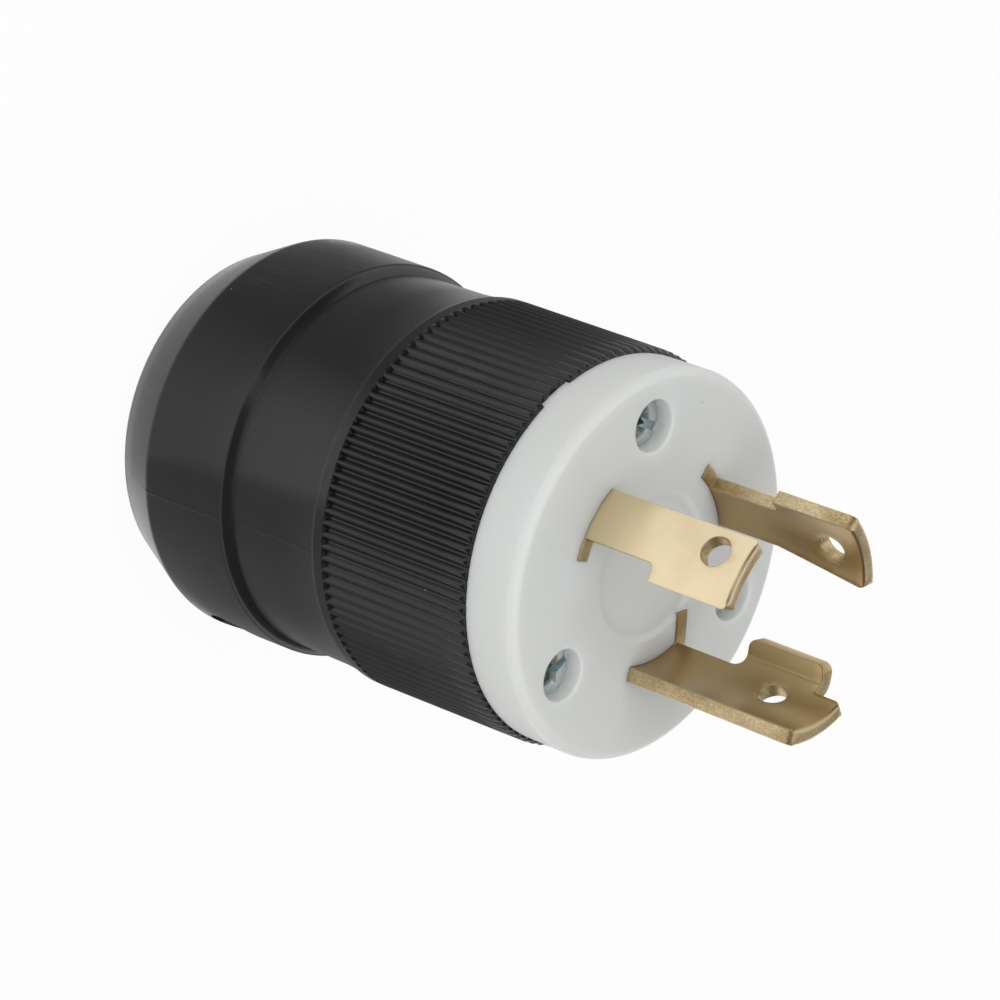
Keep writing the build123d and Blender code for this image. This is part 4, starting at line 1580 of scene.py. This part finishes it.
class MakeTerminals(bpy.types.Operator):
    """Make the terminal screws and dress the plates and the retainer inside"""

    bl_idname = "plug.terminals"
    bl_label = "Terminals"

    def execute(self, context):
        plug = context.scene.plug
        sizes, blades = plug.screws, plug.blades
        middles = {
            "x": blades.line_x_angle + blades.foot_angle / 2,
            "y": blades.line_y_angle + blades.foot_angle / 2,
            "ground": blades.ground_angle + blades.ground_bend_angle / 2,
        }
        for group, slot in ((("x", "y"), "brass"), (("ground",), "green_steel")):
            seats = [
                (
                    (*polar(sizes.terminal_outer, middles[name]), blades.terminal_level),
                    (*polar(1, middles[name]), 0),
                    TERMINAL_SPIN + k,
                )
                for k, name in enumerate(group)
            ]
            driven_screws(
                "terminal_screws_" + "_".join(group),
                slot,
                HOUSING,
                seats,
                (sizes.terminal_head_radius, sizes.terminal_head_height),
                (sizes.shank_radius, sizes.terminal_outer - sizes.terminal_inner),
                *[f"terminal_screw_{name}" for name in group],
            )
        dress("brass", *[f"terminal_clamp_{name}" for name in middles])
        dress("white_nylon", "terminal_retainer")
        return {"FINISHED"}


class MakeCordClamp(bpy.types.Operator):
    """Make the clamp screws and dress the jaws and nuts"""

    bl_idname = "plug.cord_clamp"
    bl_label = "Cord clamp"

    def execute(self, context):
        plug = context.scene.plug
        sizes, shell = plug.screws, plug.shell
        for name, side in (("a", 1), ("b", -1)):
            seat = (-side * shell.hole_offset, -side * sizes.clamp_seat, shell.hole_level)
            driven_screws(
                f"clamp_screw_driven_{name}",
                "zinc_steel",
                f"jaw_{name}",
                [(seat, (0, -side, 0), CLAMP_SPIN + side)],
                (sizes.clamp_head_radius, sizes.clamp_head_height),
                (sizes.clamp_shank_radius, sizes.clamp_shank_length),
                f"clamp_screw_{name}",
            )
            dress("black_nylon", f"clamp_jaw_{name}")
            dress("zinc_steel", f"clamp_nut_{name}")
        return {"FINISHED"}


# The stage


KEY_PLACE = (-0.10, 0.28, 0.31)
FILL_PLACE = (-0.26, -0.12, 0.29)
LAMP_SIZE = 0.4
LAMP_TARGET = Vector((0, 0, 0.06))
WHITE = (1, 1, 1, 1)
PAPER_GREY = (0.85, 0.85, 0.85, 1)

# Cards by name: where they start and end as (radius, level) in millimetres, and their (degrees, grey) shades.
# They glow and only shiny surfaces see them, so they are painted reflections.
CARDS = {
    "near_card": ((23, 0.1), (30, 0.1), [(60, 0.65), (178, 0.7), (190, 1.0), (240, 1.0)]),
    "rear_card": (
        (30, 0.1),
        (49, 0.1),
        [
            (-60, 0.80), (20, 0.75), (60, 0.30), (112, 0.30), (150, 0.75), (174.5, 0.75),
            (175.5, 0.46), (215, 0.45), (240, 0.30), (300, 0.30),
        ],
    ),
    "front_card": (
        (49, 0.1),
        (100, 0.1),
        [
            (-60, 0.30), (100, 0.28), (112, 0.28), (142, 1.0), (174.5, 1.0),
            (175.5, 0.46), (215, 0.42), (240, 0.30), (300, 0.30),
        ],
    ),
    # The flag's bright band from 129 to 139 degrees paints a highlight spot on the shell's shoulder.
    "flag": (
        (600, 20),
        (600, 900),
        [(60, 0.12), (124, 0.12), (129, 1.0), (139, 1.0), (144, 0.12), (300, 0.12)],
    ),
    "brow": ((600, 330), (600, 960), [(300, 0.12), (360, 0.12)]),
}


def add_lamp(name, place, power):
    """A soft lamp aimed at the plug, which shows in no mirror."""
    lamp = bpy.data.lights.new(name, "AREA")
    lamp.size = LAMP_SIZE
    lamp.energy = power
    made = linked(name, lamp)
    made.location = place
    made.rotation_euler = (LAMP_TARGET - Vector(place)).to_track_quat("-Z", "Y").to_euler()
    hide_from(made, "camera", "glossy")


def seen_ray(nodes):
    """One for rays that show the background itself: to the camera, from shiny and through clear surfaces."""
    camera = nodes.add("ShaderNodeLightPath", {}, {}, output="Is Camera Ray")
    glossy = camera.math("MAXIMUM", camera.other("Is Glossy Ray"))
    return glossy.math("MAXIMUM", camera.other("Is Transmission Ray"))


def new_paper(name):
    """An empty material and its nodes."""
    paper = bpy.data.materials.new(name)
    paper.use_nodes = True
    return paper, Nodes(paper.node_tree)


def add_card(name, start, end, shades):
    """A ring of glowing grey card around the plug that only shiny surfaces mirror: a painted reflection, which
    lights nothing else.
    """
    first, last = shades[0][0], shades[-1][0]
    angles = sorted({*range(first, last, 5), *(angle for angle, _ in shades)})
    points, faces, greys = [], [], []
    for k, angle in enumerate(angles):
        for radius, level in (start, end):
            points.append((*polar(radius * MM, math.radians(angle)), level * MM))
            greys.append(float(np.interp(angle, *zip(*shades))))
        if k:
            faces.append((2 * k - 2, 2 * k - 1, 2 * k + 1, 2 * k))
    card = linked(name, mesh_from(name, points, faces))
    mark(card.data, "grey", greys)
    paper, nodes = new_paper(name)
    grey = nodes.add("ShaderNodeAttribute", {"attribute_name": "grey"}, {}, output="Color")
    plain = nodes.add("ShaderNodeEmission", {}, {"Color": grey, "Strength": 1.0})
    nodes.add("ShaderNodeOutputMaterial", {}, {"Surface": plain})
    card.data.materials.append(paper)
    hide_from(card, "camera", "diffuse", "transmission", "volume_scatter", "shadow")


def hide_from(piece, *rays):
    for ray in rays:
        setattr(piece, f"visible_{ray}", False)


def aim_camera(scene, sizes):
    """Sets the camera in its place and aims it."""
    lens = bpy.data.cameras.new("camera")
    lens.lens = sizes.lens
    lens.clip_start, lens.clip_end = 0.01, 100
    camera = linked("camera", lens)
    forward = Vector(sizes.camera_view).normalized()
    right = forward.cross(Vector(sizes.camera_up)).normalized()
    upward = right.cross(forward)
    turned_to = Matrix((right, upward, -forward)).transposed().to_4x4()
    camera.matrix_world = Matrix.Translation(sizes.camera_place) @ turned_to
    scene.camera = camera


def lay_floor(scene, sizes):
    """Lays a floor that shows as white paper, apart from the part that the plug covers."""
    half = sizes.floor_size / 2
    corners = [(-half, -half, 0), (half, -half, 0), (half, half, 0), (-half, half, 0)]
    floor = linked("floor", mesh_from("floor", corners, [(0, 1, 2, 3)]))
    paper, nodes = new_paper("white_paper")
    lit = nodes.add("ShaderNodeBsdfDiffuse", {}, {"Color": PAPER_GREY})
    plain = nodes.add("ShaderNodeEmission", {}, {"Color": WHITE, "Strength": 1.0})
    off_axis, _ = nodes.off_axis(nodes.add("ShaderNodeTexCoord", {}, {}, output="Object"))
    beyond = off_axis > scene.plug.shell.rear_end_radius
    glow = seen_ray(nodes) * beyond * sizes.floor_glow
    shown = nodes.add("ShaderNodeMixShader", {}, {0: glow, 1: lit, 2: plain})
    nodes.add("ShaderNodeOutputMaterial", {}, {"Surface": shown})
    floor.data.materials.append(paper)


def light_world(scene, sizes):
    """An even light all round that shows as white."""
    world = bpy.data.worlds.new("studio")
    scene.world = world
    world.use_nodes = True
    nodes = Nodes(world.node_tree)
    strength = seen_ray(nodes) * (1 - sizes.world_strength) + sizes.world_strength
    sky = nodes.add("ShaderNodeBackground", {}, {"Color": WHITE, "Strength": strength})
    nodes.add("ShaderNodeOutputWorld", {}, {"Surface": sky})


class SetStage(bpy.types.Operator):
    """Set the camera, the white floor and the soft studio light"""

    bl_idname = "plug.stage"
    bl_label = "Stage"

    def execute(self, context):
        scene = context.scene
        sizes = scene.plug.stage
        scene.view_settings.view_transform = "Standard"
        aim_camera(scene, sizes)
        lay_floor(scene, sizes)
        for name, (start, end, shades) in CARDS.items():
            add_card(name, start, end, shades)
        light_world(scene, sizes)
        add_lamp("key", KEY_PLACE, sizes.key_power)
        add_lamp("fill", FILL_PLACE, sizes.fill_power)
        return {"FINISHED"}


OPERATORS = (SetStage, MakeShell, MakeFace, MakeBlades, MakeAssemblyScrews, MakeTerminals, MakeCordClamp)


class PlugPanel(bpy.types.Panel):
    """Lists the plug's pieces in the sidebar."""

    bl_idname = "PLUG_PT_pieces"
    bl_label = "Locking power plug"
    bl_space_type = "VIEW_3D"
    bl_region_type = "UI"
    bl_category = "Plug"

    def draw(self, context):
        for operator in OPERATORS:
            self.layout.operator(operator.bl_idname)
        for group in ("shell", "face", "blades", "screws", "colours", "stage"):
            box = self.layout.box()
            box.label(text=group.title())
            settings = getattr(context.scene.plug, group)
            for name in settings.__annotations__:
                box.prop(settings, name)


CLASSES = (
    ShellSizes,
    FaceSizes,
    BladeSizes,
    ScrewSizes,
    FinishColours,
    StageSizes,
    PlugSettings,
    *OPERATORS,
    PlugPanel,
)


def register():
    for item in CLASSES:
        bpy.utils.register_class(item)
    bpy.types.Scene.plug = PointerProperty(type=PlugSettings)


def unregister():
    del bpy.types.Scene.plug
    for item in reversed(CLASSES):
        bpy.utils.unregister_class(item)


def main():
    register()
    for operator in OPERATORS:
        group, name = operator.bl_idname.split(".")
        getattr(getattr(bpy.ops, group), name)()


if __name__ == "__main__":
    main()
